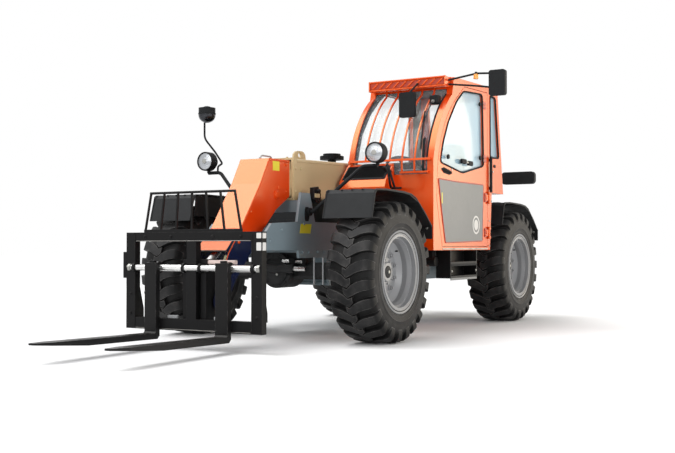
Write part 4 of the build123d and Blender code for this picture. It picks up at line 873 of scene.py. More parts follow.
class RingPattern(Pattern):
    """Copies spread evenly round an axis: tread lugs, wheel nuts and flange bolts."""

    def __init__(self) -> None:
        """Names the ring's inputs."""
        super().__init__("ring", {"Count": "NodeSocketInt", "Centre": "NodeSocketVector",
                                  "Axis": "NodeSocketVector", "Phase": "NodeSocketFloat"})

    def draw(self) -> None:
        """Points that share a place and turn in equal steps."""
        given = self.given
        points = self.graph.node("GeometryNodeMeshLine", {"mode": "OFFSET"},
                                 {"Count": given.out("Count"), "Start Location": given.out("Centre"),
                                  "Offset": (0.0, 0.0, 0.0)})
        step = math.tau / given.out("Count")
        turn = self.graph.node("GeometryNodeInputIndex") * step + given.out("Phase")
        self.repeat(points, self.graph.node("FunctionNodeAxisAngleToRotation", None,
                                            {"Axis": given.out("Axis"), "Angle": turn}))


class StudPattern(Pattern):
    """Copies on a mesh's points, each stood up along the point's facing attribute."""

    def __init__(self) -> None:
        """Needs no inputs but the shape."""
        super().__init__("studs", {})

    def draw(self) -> None:
        """The points' own places and facings."""
        facing = self.graph.node("GeometryNodeInputNamedAttribute", {"data_type": "FLOAT_VECTOR"}, {"Name": "facing"})
        turn = self.graph.node("FunctionNodeAlignRotationToVector", {"axis": "Z"}, {"Vector": facing})
        self.repeat(self.given, turn)


class Patterns:
    """The patterns that every sub-assembly shares."""

    def __init__(self) -> None:
        """Builds one tree of each kind."""
        self.rows = RowPattern()
        self.rings = RingPattern()
        self.on_points = StudPattern()

    def row(self, form: Form, shape: Form, finish: Finish, count: int, step: Point, start: Point = (0, 0, 0)) -> None:
        """Adds count copies of shape, each moved on by step."""
        self.rows.grow(form, shape, finish, {"Count": count, "Start": start, "Step": step})

    def ring(self, form: Form, shape: Form, finish: Finish, count: int, centre: Point, axis: Point = (1, 0, 0),
             phase: float = 0.0) -> None:
        """Adds count copies of shape, which is drawn about the origin, round an axis through centre."""
        self.rings.grow(form, shape, finish,
                        {"Count": count, "Centre": centre, "Axis": axis, "Phase": phase})

    def bolts(self, form: Form, places: Sequence[tuple[Point, Point]], size: float = 0.009,
              finish: Finish = ZINC) -> None:
        """Adds hexagon bolt heads on washers.

        Args:
            form: The form that takes them.
            places: The seat of each bolt and the way that its head points.
            size: The head's radius.
            finish: Their finish.
        """
        host = bpy.data.meshes.new("seats")
        host.from_pydata([p for p, _ in places], [], [])
        facing = host.attributes.new("facing", "FLOAT_VECTOR", "POINT")
        facing.data.foreach_set("vector", [c for _, way in places for c in Vector(way).normalized()])
        head = Form("bolt_head")
        head.turned(((-0.001, size * 1.45), (size * 0.2, size * 1.45), (size * 0.22, size * 1.3)),
                    (0, 0, 0), (0, 0, 1), finish, 12)
        head.turned(((size * 0.15, size), (size * 0.85, size), (size * 1.0, size * 0.82)),
                    (0, 0, 0), (0, 0, 1), finish, 6)
        self.on_points.grow(form, head, finish, {}, host)


def dress(nodes: Iterable[str], finish: Finish) -> None:
    """Gives the CAD nodes a finish in place of their plain material."""
    for node in nodes:
        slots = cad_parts[node].material_slots
        for slot in slots:
            slot.material = finish.material()


# ================================================================ studio
@dataclass(frozen=True)
class Lamp:
    """A soft studio light: where it hangs, what it faces, its size (an angle if distant) and its power."""

    name: str
    at: Point
    towards: Point
    size: float
    power: float
    colour: Colour = (1.0, 1.0, 1.0)
    distant: bool = False


class Studio:
    """A pale floor, a white backdrop, soft lights and the camera."""

    eye: Point = (4.73, -8.675, 0.80)
    turn: float = math.radians(30.02)
    pitch: float = math.radians(1.12)
    lens: float = 52.69
    floor_half: float = 60.0
    lamps: tuple[Lamp, ...] = (
        Lamp("overhead", (-4.5, -3.4, 8.5), (0.0, 0.0, 0.0), math.radians(46.0), 2.3, distant=True),
        Lamp("front", (1.0, -12.0, 4.5), (0.0, -1.0, 1.0), 5.0, 300.0),
        Lamp("side", (9.0, -4.0, 3.5), (0.5, -0.3, 1.2), 5.0, 300.0),
        Lamp("panel", (8.0, 8.5, 2.6), (1.0, 0.2, 1.5), 7.0, 430.0, (1.0, 0.87, 0.66)),
        Lamp("rim", (-7.0, 6.0, 6.0), (0.0, 0.0, 1.2), 4.0, 160.0),
    )

    def build(self) -> None:
        """Sets the view, the world, the floor, the lights and the camera."""
        scene = bpy.context.scene
        scene.view_settings.view_transform = "Standard"
        self.light_world(scene)
        self.lay_floor()
        for lamp in self.lamps:
            self.hang(lamp)
        data = bpy.data.cameras.new("camera")
        data.lens = self.lens
        data.sensor_width = 36.0
        camera = bpy.data.objects.new("camera", data)
        scene.collection.objects.link(camera)
        ahead = Vector((-math.sin(self.turn) * math.cos(self.pitch), math.cos(self.turn) * math.cos(self.pitch),
                        math.sin(self.pitch)))
        camera.location = self.eye
        camera.rotation_euler = ahead.to_track_quat("-Z", "Y").to_euler()
        scene.camera = camera

    def light_world(self, scene: bpy.types.Scene) -> None:
        """White where the camera, a reflection or a clear pane sees it and a soft grey light elsewhere."""
        world = bpy.data.worlds.new("studio")
        world.use_nodes = True
        scene.world = world
        graph = Graph(world.node_tree)
        path = graph.node("ShaderNodeLightPath")
        clear = graph.maths("MAXIMUM", path.out("Is Transmission Ray"), path.out("Is Glossy Ray"))
        seen = graph.maths("MAXIMUM", path, clear)
        white = graph.node("ShaderNodeBackground", None, {"Color": (1.0, 1.0, 1.0), "Strength": 1.0})
        soft = graph.node("ShaderNodeBackground", None, {"Color": (0.97, 0.98, 1.0), "Strength": 0.44})
        both = graph.node("ShaderNodeMixShader", None, {0: seen, 1: soft, 2: white})
        graph.node("ShaderNodeOutputWorld", None, {"Surface": both})

    def lay_floor(self) -> None:
        """The floor, which the tyres stand on."""
        half = self.floor_half
        mesh = bpy.data.meshes.new("floor")
        mesh.from_pydata([(-half, -half, 0), (half, -half, 0), (half, half, 0), (-half, half, 0)], [], [(0, 1, 2, 3)])
        floor = bpy.data.objects.new("floor", mesh)
        bpy.context.scene.collection.objects.link(floor)
        made = bpy.data.materials.new("studio_floor")
        made.use_nodes = True
        graph = Graph(made.node_tree)
        shader = graph.node("ShaderNodeBsdfPrincipled", None,
                            {"Base Color": (0.985, 0.985, 0.985), "Roughness": 0.9, "Specular IOR Level": 0.0})
        graph.node("ShaderNodeOutputMaterial", None, {"Surface": shader})
        mesh.materials.append(made)

    def hang(self, lamp: Lamp) -> None:
        """Adds one soft light."""
        data = bpy.data.lights.new(lamp.name, "SUN" if lamp.distant else "AREA")
        if lamp.distant:
            data.angle = lamp.size
        else:
            data.shape = "DISK"
            data.size = lamp.size
        data.energy = lamp.power
        data.color = lamp.colour
        light = bpy.data.objects.new(lamp.name, data)
        bpy.context.scene.collection.objects.link(light)
        light.location = lamp.at
        light.rotation_euler = (Vector(lamp.towards) - Vector(lamp.at)).to_track_quat("-Z", "Y").to_euler()


# ================================================================ running gear
@dataclass(frozen=True)
class TreadSize:
    """A tyre's casing and its tread lugs, from the wheel's mid plane and its axle."""

    mid: float = 0.95
    lip: tuple[Flat, ...] = (
        (0.184, 0.344), (0.191, 0.341), (0.193, 0.337), (0.189, 0.331), (0.1868, 0.327), (0.1868, 0.316),
        (0.190, 0.311), (0.189, 0.306), (0.180, 0.303), (0.174, 0.306), (0.174, 0.340),
    )
    # A dark ring laid in the rim lip's groove as painted shade.
    lip_groove_shade: tuple[Flat, ...] = ((0.1876, 0.3255), (0.1876, 0.3175), (0.184, 0.3175), (0.184, 0.3255))
    lugs: int = 23
    sweep: float = math.radians(7.0)
    half_width: float = math.radians(4.1)
    shoulder_half: float = math.radians(3.1)
    draft: float = math.radians(0.8)
    casing: tuple[Flat, ...] = (
        (0.0, 0.551), (0.10, 0.547), (0.148, 0.538), (0.174, 0.522), (0.188, 0.499), (0.1955, 0.468),
        (0.1985, 0.435), (0.1985, 0.412), (0.2, 0.409), (0.2, 0.401), (0.1975, 0.398), (0.195, 0.378),
        (0.1915, 0.366), (0.1935, 0.362), (0.1925, 0.355), (0.187, 0.349), (0.1855, 0.338), (0.176, 0.327),
    )
    inner_end: float = -0.034
    lug_top: tuple[Flat, ...] = (
        (-0.034, 0.582), (0.0, 0.5845), (0.035, 0.585), (0.085, 0.5845), (0.135, 0.581), (0.170, 0.573), (0.190, 0.556),
        (0.1985, 0.530), (0.2, 0.500), (0.1985, 0.474),
    )
    lug_foot: tuple[Flat, ...] = (
        (-0.034, 0.542), (0.0, 0.542), (0.035, 0.542), (0.083, 0.539), (0.130, 0.531), (0.155, 0.522), (0.168, 0.508),
        (0.178, 0.492), (0.186, 0.478), (0.190, 0.466),
    )


class Wheel:
    """A tyre with its tread and the fixings of its rim."""

    size = TreadSize()
    nut_circle: float = 0.165
    nuts: int = 10
    hub_circle: float = 0.1
    disc_x: float = 0.985
    hub_x: float = 1.003
    nose_x: float = 1.020

    def __init__(self, corner: Corner, patterns: Patterns) -> None:
        """Finds the wheel in the frame."""
        low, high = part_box(f"{corner.value}_tyre")
        self.corner = corner
        self.patterns = patterns
        self.axle = Vector((0.0, (low.y + high.y) / 2, (low.z + high.z) / 2))

    def build(self) -> None:
        """Makes the tyre and the nuts."""
        name = self.corner.value
        tyre = Form(f"{name}_tread")
        mid = Vector((self.size.mid * self.corner.side, 0.0, 0.0)) + self.axle
        half = self.size.casing
        ring = [(-s, r) for s, r in reversed(half)] + list(half[1:])
        tyre.turned(ring, mid, (1, 0, 0), TYRE, 112, looped=True)
        pitch = math.tau / self.size.lugs
        for way in (1, -1):
            self.patterns.ring(tyre, self.lug(way), TYRE, self.size.lugs, mid,
                               phase=0.0 if way == self.corner.side else pitch / 2)
        tyre.done(f"{name}_wheel", "tyre", [f"{name}_tyre"])
        dress([f"{name}_rim"], SILVER)
        self.fixings(f"{name}_wheel_fixings").done(f"{name}_wheel", "silver_paint")

    def lug(self, way: int) -> Form:
        """One tread lug, which sweeps from the wheel's middle over the shoulder.

        Args:
            way: 1 for the half of the tread on the +X side and -1 for the other half.
        """
        shape = Form("lug")
        rings = []
        for (across, radius), (foot_across, foot_radius) in zip(self.size.lug_top, self.size.lug_foot):
            share = min(1.0, abs(across) / 0.19)
            middle = self.size.sweep * (1 - (1 - share) ** 2)
            low = max(0.0, (0.575 - radius) / 0.1) if across > 0 else 0.0
            half = self.size.half_width + (self.size.shoulder_half - self.size.half_width) * min(1.0, low)
            half *= 1.0 - 0.22 * max(0.0, 1.0 + across / self.size.inner_end)
            foot = half + self.size.draft
            corners = ((foot_across, foot_radius, -foot), (across, radius, -half),
                       (across, radius, half), (foot_across, foot_radius, foot))
            rings.append([Vector((way * s, -r * math.cos(middle + a), r * math.sin(middle + a)))
                          for s, r, a in corners])
        shape.skin(rings, TYRE)
        return shape

    def fixings(self, name: str) -> Form:
        """The wheel nuts, hub bolts, grease plug and valve."""
        form = Form(name)
        side = self.corner.side
        out = (side, 0, 0)
        nut = Form("nut")
        nut.turned(((-0.001, 0.026), (0.006, 0.025), (0.008, 0.019)), (side * self.disc_x, 0, self.nut_circle),
                   out, SILVER, 16)
        nut.turned(((0.006, 0.0165), (0.022, 0.0165), (0.025, 0.013)), (side * self.disc_x, 0, self.nut_circle),
                   out, SILVER, 6)
        nut.turned(((0.02, 0.009), (0.034, 0.009), (0.036, 0.007)), (side * self.disc_x, 0, self.nut_circle),
                   out, SILVER, 10)
        self.patterns.ring(form, nut, SILVER, self.nuts, self.axle)
        bolt = Form("hub_bolt")
        bolt.turned(((-0.001, 0.0095), (0.009, 0.0095), (0.011, 0.008)), (side * self.hub_x, 0, self.hub_circle),
                    out, SILVER, 6)
        self.patterns.ring(form, bolt, SILVER, 8, self.axle, phase=0.2)
        centre = self.axle + Vector((side * self.nose_x, 0, 0))
        form.turned(((-0.002, 0.052), (0.004, 0.05), (0.006, 0.046)), centre, out, CASTING, 24)
        form.turned(((0.004, 0.016), (0.014, 0.016), (0.016, 0.013)), centre, out, ZINC, 6)
        foot = self.axle + Vector((side * 1.006, 0.17, 0.17))
        form.rod(foot - Vector((side * 0.03, 0, 0)), foot + Vector((side * 0.022, 0, 0)), 0.006, PLASTIC, 10)
        form.rod(foot + Vector((side * 0.018, 0, 0)), foot + Vector((side * 0.032, 0, 0)), 0.0048, ZINC, 10)
        mid = self.axle + Vector((side * self.size.mid, 0, 0))
        form.turned(self.size.lip, mid, out, SILVER, 88, looped=True)
        # The graphite ring in the lip's groove is painted shade.
        form.turned(self.size.lip_groove_shade, mid, out, GRAPHITE, 88, looped=True)
        return form


class RunningGear:
    """The wheels, axles, knuckles and fenders."""

    bead_radius: float = 0.0065
    fender_edge: tuple[Flat, ...] = (
        (-0.466, 1.020), (-0.444, 1.097), (-0.405, 1.236), (-0.385, 1.246), (-0.23, 1.253), (-0.05, 1.2505),
        (0.12, 1.246), (0.25, 1.232), (0.335, 1.205), (0.42, 1.148), (0.505, 1.092), (0.58, 1.031), (0.657, 0.968),
    )
    fender_x: Flat = (0.670, 1.120)
    diff_half: float = 0.125
    diff_circle: float = 0.132

    def __init__(self, patterns: Patterns) -> None:
        """Keeps the shared patterns."""
        self.patterns = patterns

    def build(self) -> None:
        """Dresses the four corners and both axles."""
        for corner in Corner:
            Wheel(corner, self.patterns).build()
            self.hub(corner)
        dress(["front_axle", "rear_axle"], CASTING)
        form = Form("axle_fixings")
        for node, face in (("front_axle", -1), ("rear_axle", 1)):
            low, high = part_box(node)
            centre = Vector((0.0, face * 1.425, 0.585))
            ring = [(centre + Vector((self.diff_circle * math.sin(t), face * self.diff_half,
                                      self.diff_circle * math.cos(t))), (0, face, 0))
                    for t in (math.tau * (i + 0.5) / 12 for i in range(12))]
            self.patterns.bolts(form, ring, 0.008, CASTING)
            form.turned(((-0.004, 0.118), (0.008, 0.116), (0.022, 0.098), (0.03, 0.07)),
                        centre + Vector((0, face * self.diff_half, 0)), (0, face, 0), CASTING, 40)
            form.turned(((0.02, 0.012), (0.036, 0.012), (0.038, 0.01)),
                        centre + Vector((0.03, face * self.diff_half, -0.03)), (0, face, 0), ZINC, 6)
            rod_y = low.y + 0.036 if face < 0 else high.y - 0.036
            for side in (1, -1):
                form.rod((side * 0.2125, rod_y, 0.605), (side * 0.3285, rod_y, 0.605), 0.0189, CHROME, 24)
        form.done("chassis", "cast_iron")

    def hub(self, corner: Corner) -> None:
        """Dresses the knuckle and the fender, and adds the fender's rolled edges, ribs, liner, rubber strip and bolts.
        """
        name = corner.value
        dress([f"{name}_knuckle"], CASTING)
        dress([f"{name}_fender"], FENDER_PLASTIC)
        side = corner.side
        axle_y = math.copysign(1.425, -1 if name.startswith("front") else 1)
        form = Form(f"{name}_fender_trim")
        inner, outer = self.fender_x
        lip = 0.004
        for x in (inner + lip, outer - lip):
            path = [Vector((side * x, axle_y + y, z)) for y, z in self.fender_edge]
            form.tube(path, self.bead_radius, FENDER_PLASTIC, 8)
        for x in (0.80, 0.895, 0.99):
            path = [Vector((side * x, axle_y + y, z + 0.001)) for y, z in self.fender_edge[3:8]]
            form.tube(path, 0.007, FENDER_PLASTIC, 8)
        liner = ((-0.40, 1.06), (0.40, 1.06), (0.40, 1.158), (0.33, 1.203), (0.25, 1.228), (-0.38, 1.242))
        form.prism([(axle_y + y, z) for y, z in liner], Bearing.X, (side * 0.672, side * 0.680), FENDER_PLASTIC)
        foot = axle_y + self.fender_edge[-1][0]
        form.slab((side * outer if side < 0 else inner, foot - 0.006, 0.86),
                  (side * inner if side < 0 else outer, foot + 0.002, 0.985), SEAL, 0.002, Bearing.Y)
        bolts = [((side * x, axle_y + y, 1.257), (0, 0, 1)) for x in (0.708, 0.75) for y in (-0.18, 0.12)]
        bolts += [((side * x, foot - 0.006, 0.955), (0, -1, 0)) for x in (0.72, 0.895, 1.07)]
        self.patterns.bolts(form, bolts, 0.008)
        form.done(f"{name}_hub", "black_plastic")


# ================================================================ chassis
class Chassis:
    """The frame's fixings, step treads, labels and the counterweight's trim."""

    plate_x: float = 0.300

    def __init__(self, patterns: Patterns) -> None:
        """Keeps the shared patterns."""
        self.patterns = patterns

    def build(self) -> None:
        """Dresses the frame and adds its small parts."""
        dress(["frame_side_plates", "frame_cross_members"], SLATE)
        dress(["outriggers", "cab_step"], BLACK)
        dress(["counterweight", "engine_block"], CASTING)
        self.fixings().done("chassis", "frame_paint")
        self.steps().done("chassis", "black_paint")
        self.tail().done("chassis", "cast_iron")

    def fixings(self) -> Form:
        """Bolts, the stand-off bracket, the blank label and a dark patch of painted shade for the slot on the side
        plates, with the hoses behind them.
        """
        form = Form("frame_fixings")
        x = self.plate_x
        seats = []
        for side in (1, -1):
            out = (side, 0, 0)
            seats += [((side * x, y, 0.745), out) for y in (-1.60, -1.50, -1.35, -1.25, 1.25, 1.35, 1.50, 1.60)]
            seats += [((side * x, y, 0.56), out) for y in (-0.95, -0.7, -0.2, 0.2, 0.7, 0.95)]
            seats += [((side * x, -1.58, 0.985), out), ((side * x, -1.92, 0.93), out), ((side * x, -2.09, 0.84), out)]
            near, far = sorted((side * (x - 0.001), side * (x + 0.003)))
            # The slot is a flat dark rubber patch on the plate: painted shade for its opening.
            slot = [(-1.53 + y * 0.035, 1.07 + z * 0.06) for y, z in ((-0.65, -1), (0.65, -1), (1, -0.65), (1, 0.65),
                                                                      (0.65, 1), (-0.65, 1), (-1, 0.65), (-1, -0.65))]
            form.prism(slot, Bearing.X, (near, far), SEAL, 0.0008)
        self.patterns.bolts(form, seats, 0.011, SLATE)
        label = ((x + 0.001, -1.645, 0.905), (x + 0.001, -1.475, 0.905),
                 (x + 0.001, -1.455, 0.985), (x + 0.001, -1.625, 0.985))
        form.plate(label, 0.0015, YELLOW_LABEL)
        outline = ((-1.452, 1.30), (-1.372, 1.312), (-1.330, 1.25), (-1.335, 1.165), (-1.40, 1.165), (-1.452, 1.2))
        form.prism(outline, Bearing.X, (x - 0.02, x + 0.022), BLACK, 0.003)
        form.prism(((-1.436, 1.215), (-1.356, 1.215), (-1.356, 1.25), (-1.436, 1.25)), Bearing.X,
                   (x + 0.02, x + 0.026), TAN, 0.002)
        form.rod((x + 0.01, -1.392, 1.272), (x + 0.048, -1.392, 1.272), 0.016, BLACK, 20)
        self.patterns.bolts(form, [((x + 0.022, -1.372, 1.185), (1, 0, 0)), ((x + 0.022, -1.425, 1.195), (1, 0, 0))],
                            0.008, BLACK)
        for pipe_x in (0.354, 0.443):
            form.rod((pipe_x, -1.50, 0.47), (pipe_x, -1.50, 0.70), 0.008, GREY_PLASTIC, 12)
        for start, end, radius in ((0.035, 0.142, 0.020), (0.198, 0.276, 0.014)):
            form.rod((start, -1.545, 0.664), (end, -1.545, 0.664), radius, CHROME, 20)
        for start, end in ((0.005, 0.038), (0.139, 0.201), (0.273, 0.300)):
            form.slab((start, -1.568, 0.640), (end, -1.500, 0.690), BLACK, 0.006)
        for y in (-2.0, -1.86):
            form.tube(bent([(0.26, y, 0.93), (0.22, y, 0.98), (0.1, y + 0.25, 0.94), (0.1, -1.35, 0.9)], 0.06),
                      0.0105, SEAL, 10)
        return form

    def steps(self) -> Form:
        """Anti-slip bars on each tread and a nosing along its edge."""
        low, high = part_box("cab_step")
        form = Form("step_treads")
        for top, nosing in ((0.500, PANEL_GREY), (0.630, PLASTIC)):
            bar = Form("bar")
            bar.slab((0.962, low.y + 0.02, top - 0.001), (0.969, high.y - 0.02, top + 0.005), PLASTIC, 0.0015)
            self.patterns.row(form, bar, BLACK, 7, (0.0185, 0, 0))
            form.slab((1.088, low.y + 0.01, top - 0.018), (1.0975, high.y - 0.01, top + 0.003), nosing, 0.002)
        seats = [((1.095, y, 0.565), (1, 0, 0)) for y in (low.y + 0.03, high.y - 0.03)]
        self.patterns.bolts(form, seats, 0.008)
        return form

    def tail(self) -> Form:
        """Bolts and two red reflectors on the counterweight."""
        form = Form("counterweight_fixings")
        back = 2.190
        seats = [((x, back, z), (0, 1, 0)) for x in (-0.3, 0.3) for z in (0.64, 0.86)]
        self.patterns.bolts(form, seats, 0.016, CASTING)
        for side in (-1, 1):
            form.slab((side * 0.36 - 0.03, back - 0.002, 0.705), (side * 0.36 + 0.03, back + 0.006, 0.795),
                      RED_LENS, 0.004, Bearing.Y)
        return form


# ================================================================ boom, head and carriage
class Boom:
    """The two boom sections: collar and pad bolts, pipes, weld beads and the hose loop over the head."""

    pivot: Flat = (1.775, 1.477)
    slope: float = math.radians(1.76)
    mouth: float = 3.322
    half_x: float = 0.165
    half_z: float = 0.175
    head_x: float = 0.1455
    link_pin: Flat = (-1.760, 1.230)
    tilt_pin: Flat = (-2.530, 0.370)

    def __init__(self, patterns: Patterns) -> None:
        """Keeps the shared patterns."""
        self.patterns = patterns

    def at(self, x: float, along: float, above: float) -> Vector:
        """A point on the parked boom, by its distance along the boom from the pivot and above its middle line."""
        y, z = self.pivot
        c, s = math.cos(self.slope), math.sin(self.slope)
        return Vector((x, y - along * c - above * s, z - along * s + above * c))

    def build(self) -> None:
        """Dresses both sections and the lift cylinder."""
        dress(["outer_boom", "inner_boom"], TAN)
        dress(["boom_head"], HEAD_ORANGE)
        dress(["lift_cylinder_barrel", "tilt_cylinder_barrel"], BLACK)
        dress(["lift_cylinder_rod", "tilt_cylinder_rod"], CHROME)
        self.outer().done("boom_outer", "tan_paint")
        self.head().done("boom_inner", "orange_paint")

    def outer(self) -> Form:
        """Collar bolts, pad bolts, weld beads, clipped pipes and the tail's cover."""
        form = Form("boom_fixings")
        seats = []
        for side in (1, -1):
            out = (side, 0, 0)
            collar = side * (self.half_x + 0.008)
            seats += [(self.at(collar, self.mouth - 0.037, h), out) for h in (-0.11, 0.09)]
            seats += [(self.at(side * self.half_x, self.mouth - 0.135, h), out) for h in (-0.11, 0.09)]
        up = self.at(0, 0, 1) - self.at(0, 0, 0)
        seats += [(self.at(x, self.mouth - 0.037, self.half_z + 0.008), up) for x in (-0.09, 0.09)]
        seats += [(self.at(x, self.mouth - 0.125, self.half_z), up) for x in (-0.09, 0.09)]
        self.patterns.bolts(form, seats, 0.010, TAN)
        for side in (1, -1):
            for end in (1, -1):
                beads = [self.at(side * (self.half_x + 0.0005), s, end * (self.half_z - 0.026)) for s in (0.3, 3.24)]
                form.tube(beads, 0.004, TAN, 8)
        for lift in (0.05, 0.085):
            x = -self.half_x - 0.014
            pipe = [self.at(x, 0.25, lift), self.at(x, 3.12, lift), self.at(x + 0.01, 3.2, lift - 0.04)]
            form.tube(bent(pipe, 0.03), 0.008, BLACK, 10)
        clip = Form("clip")
        low = self.at(-self.half_x, 0.4, 0.03)
        clip.slab(low + Vector((-0.025, -0.02, 0)), low + Vector((0.001, 0.02, 0.078)), PLASTIC, 0.004)
        step = self.at(0, 0.62, 0) - self.at(0, 0, 0)
        self.patterns.row(form, clip, PLASTIC, 5, step)
        cover = [self.at(x, 0.42, self.half_z) for x in (-0.09, 0.09)]
        cover += [self.at(x, 0.95, self.half_z) for x in (0.09, -0.09)]
        form.plate(cover, 0.003, TAN)
        corners = [(self.at(x, s, self.half_z + 0.003), up) for x in (-0.07, 0.07) for s in (0.46, 0.91)]
        self.patterns.bolts(form, corners, 0.008)
        return form

    def head(self) -> Form:
        """Bolts, pin covers, weld beads, the blank label, the front sheet and the hoses of the head."""
        form = Form("head_fixings")
        link, tilt = self.link_pin, self.tilt_pin
        seats = []
        for side in (1, -1):
            out = (side, 0, 0)
            x = side * 0.145
            seats += [((x, y, z), out) for y, z in ((-2.133, 1.072), (-1.62, 1.49), (-1.62, 1.26), (-2.30, 0.83))]
            form.rod((side * 0.143, *link), (side * 0.154, *link), 0.040, ORANGE, 28)
            form.rod((side * 0.15, *link), (side * 0.163, *link), 0.027, ORANGE, 24)
            form.slab((min(x, side * 0.151), -1.745, 1.275), (max(x, side * 0.151), -1.70, 1.305), ORANGE, 0.003,
                      Bearing.X)
            form.rod((side * 0.154, *tilt), (side * 0.166, *tilt), 0.044, ZINC, 28)
            form.tube([Vector((side * self.head_x, y, z)) for y, z in
                       ((-1.565, 1.515), (-1.868, 1.513), (-1.992, 1.310), (-2.162, 1.080), (-2.275, 0.930),
                        (-2.435, 0.745), (-2.52, 0.58))], 0.0045, ORANGE, 8)
        self.patterns.bolts(form, seats, 0.010, ORANGE)
        label = [(self.head_x, y, z) for y, z in ((-1.82, 1.43), (-1.72, 1.43), (-1.72, 1.515), (-1.82, 1.515))]
        form.plate(label, 0.0012, YELLOW_LABEL)
        loop = [(0.03, -1.662, 1.528), (0.03, -1.675, 1.560), (0.03, -1.82, 1.560), (0.03, -1.838, 1.528)]
        form.tube(bent(loop, 0.03), 0.007, HOSE, 10)
        for y in (-1.662, -1.838):
            form.rod((0.03, y, 1.526), (0.03, y, 1.542), 0.011, ZINC, 6)
        self.shield(form)
        for side in (1, -1):
            hose = [(side * 0.085, -1.80, 1.30), (side * 0.10, -1.84, 1.22), (side * 0.10, -1.98, 1.08),
                    (side * 0.085, -2.06, 1.02)]
            form.tube(bent(hose, 0.05), 0.009, SEAL, 10)
        return form

    def shield(self, form: Form) -> None:
        """The sheet over the head's sloping front, which stands further out low down, over the tilt cylinder's rod."""
        top, bottom = Vector((-2.285, 0.930)), Vector((-2.445, 0.745))
        out = Vector((-0.756, 0.654))
        edge = bottom + (bottom - top) * 0.05
        over = top - (bottom - top) * 0.04
        sheet = (over + out * 0.0005, bottom + out * 0.026, bottom + out * 0.032, over + out * 0.006)
        form.prism([tuple(p) for p in sheet], Bearing.X, (-0.145, 0.145), HEAD_ORANGE, 0.001)
        lip = (bottom + out * 0.026, edge + out * 0.027, edge + out * 0.033, bottom + out * 0.032)
        form.prism([tuple(p) for p in lip], Bearing.X, (-0.145, 0.145), BLACK, 0.001)
        wedge = (top - out * 0.004, bottom - out * 0.004, bottom + out * 0.027, top + out * 0.003)
        for side in (1, -1):
            form.prism([tuple(p) for p in wedge], Bearing.X, (side * 0.123, side * self.head_x), HEAD_ORANGE, 0.001)


class Carriage:
    """The fork carriage: shaft collars, plates, bolts and the forks' latches."""

    front_y: float = -2.715
    shaft: Flat = (-2.700, 0.630)
    pivot: Flat = (-2.53, 0.37)
    rod_eye: Flat = (-2.54, 0.64)
    blade_root: Flat = (-2.766, 0.1262)
    blade_slope: float = 0.022 / 1.2

    def __init__(self, patterns: Patterns) -> None:
        """Keeps the shared patterns."""
        self.patterns = patterns

    def build(self) -> None:
        """Dresses the carriage and both forks."""
        dress(["carriage_frame", "load_guard"], BLACK)
        dress(["fork_shaft"], CHROME)
        dress(["left_fork", "right_fork"], FORK_BLACK)
        self.frame_parts().done("carriage", "black_paint")
        for name, x in (("left_fork", 0.322), ("right_fork", -0.360)):
            self.fork_parts(name, x).done("fork_" + name.split("_")[0], "black_paint")

    def frame_parts(self) -> Form:
        """Collars and nuts on the shaft, a latch box, blank plates, bolts, weld beads, washers and pin covers."""
        form = Form("carriage_fixings")
        y, z = self.shaft
        for side in (1, -1):
            form.rod((side * 0.558, y, z), (side * 0.583, y, z), 0.039, BLACK, 28)
            form.rod((side * 0.07, y, z), (side * 0.088, y, z), 0.037, BLACK, 28)
            form.rod((side * 0.604, y, z), (side * 0.632, y, z), 0.034, ZINC, 6)
            form.tube([Vector((side * 0.56, self.front_y - 0.001, h)) for h in (0.17, 0.89)], 0.0035, BLACK, 8)
        form.slab((-0.688, -2.715, 0.545), (-0.649, -2.655, 0.752), BLACK, 0.006)
        form.slab((-0.694, -2.70, 0.575), (-0.686, -2.67, 0.722), PLASTIC, 0.002, Bearing.X)
        form.slab((0.062, -2.654, 0.660), (0.36, -2.612, 0.692), PALE, 0.006, Bearing.X)
        for low, high in ((0.855, 0.895), (0.765, 0.825)):
            form.slab((0.602, self.front_y - 0.003, low), (0.645, self.front_y + 0.001, high), WHITE_LABEL, 0.004,
                      Bearing.Y)
            form.slab((0.6495, -2.708, low), (0.6525, -2.662, high), WHITE_LABEL, 0.003, Bearing.X)
        front = (0, -1, 0)
        seats = [((side * 0.605, self.front_y, h), front) for side in (1, -1) for h in (0.27, 0.42)]
        seats += [((side * x, self.front_y, 0.87), front) for side in (1, -1) for x in (0.46, 0.2)]
        self.patterns.bolts(form, seats, 0.010, BLACK)
        for side in (1, -1):
            form.slab((side * 0.225 - 0.05, -2.664, 0.225), (side * 0.225 + 0.05, -2.640, 0.262), GREY_PLASTIC, 0.004)
            form.rod((side * 0.052, *self.rod_eye), (side * 0.1185, *self.rod_eye), 0.031, ZINC, 20)
            form.rod((side * 0.109, *self.pivot), (side * 0.1175, *self.pivot), 0.05, BLACK, 24)
        for h in (0.156, 0.835):
            form.slab((-0.55, self.front_y - 0.002, h + 0.001), (0.55, self.front_y + 0.001, h + 0.005), STEEL, 0.001,
                      Bearing.Y)
        return form

    def fork_parts(self, name: str, x: float) -> Form:
        """The latch block on a fork's hook and a rubbed strip along its blade.

        Args:
            name: The fork's node.
            x: The middle of the fork.
        """
        form = Form(f"{name}_latch")
        y, z = self.shaft
        form.slab((x - 0.024, y - 0.054, z + 0.036), (x + 0.024, y - 0.020, z + 0.058), BLACK, 0.005)
        heel, tip = -2.80, -3.62
        root, top = self.blade_root
        near, far = (top + self.blade_slope * (root - end) for end in (heel, tip))
        corners = [(x - 0.04, heel, near), (x + 0.04, heel, near), (x + 0.032, tip, far), (x - 0.032, tip, far)]
        form.plate(corners, 0.0008, FORK_BLACK)
        return form


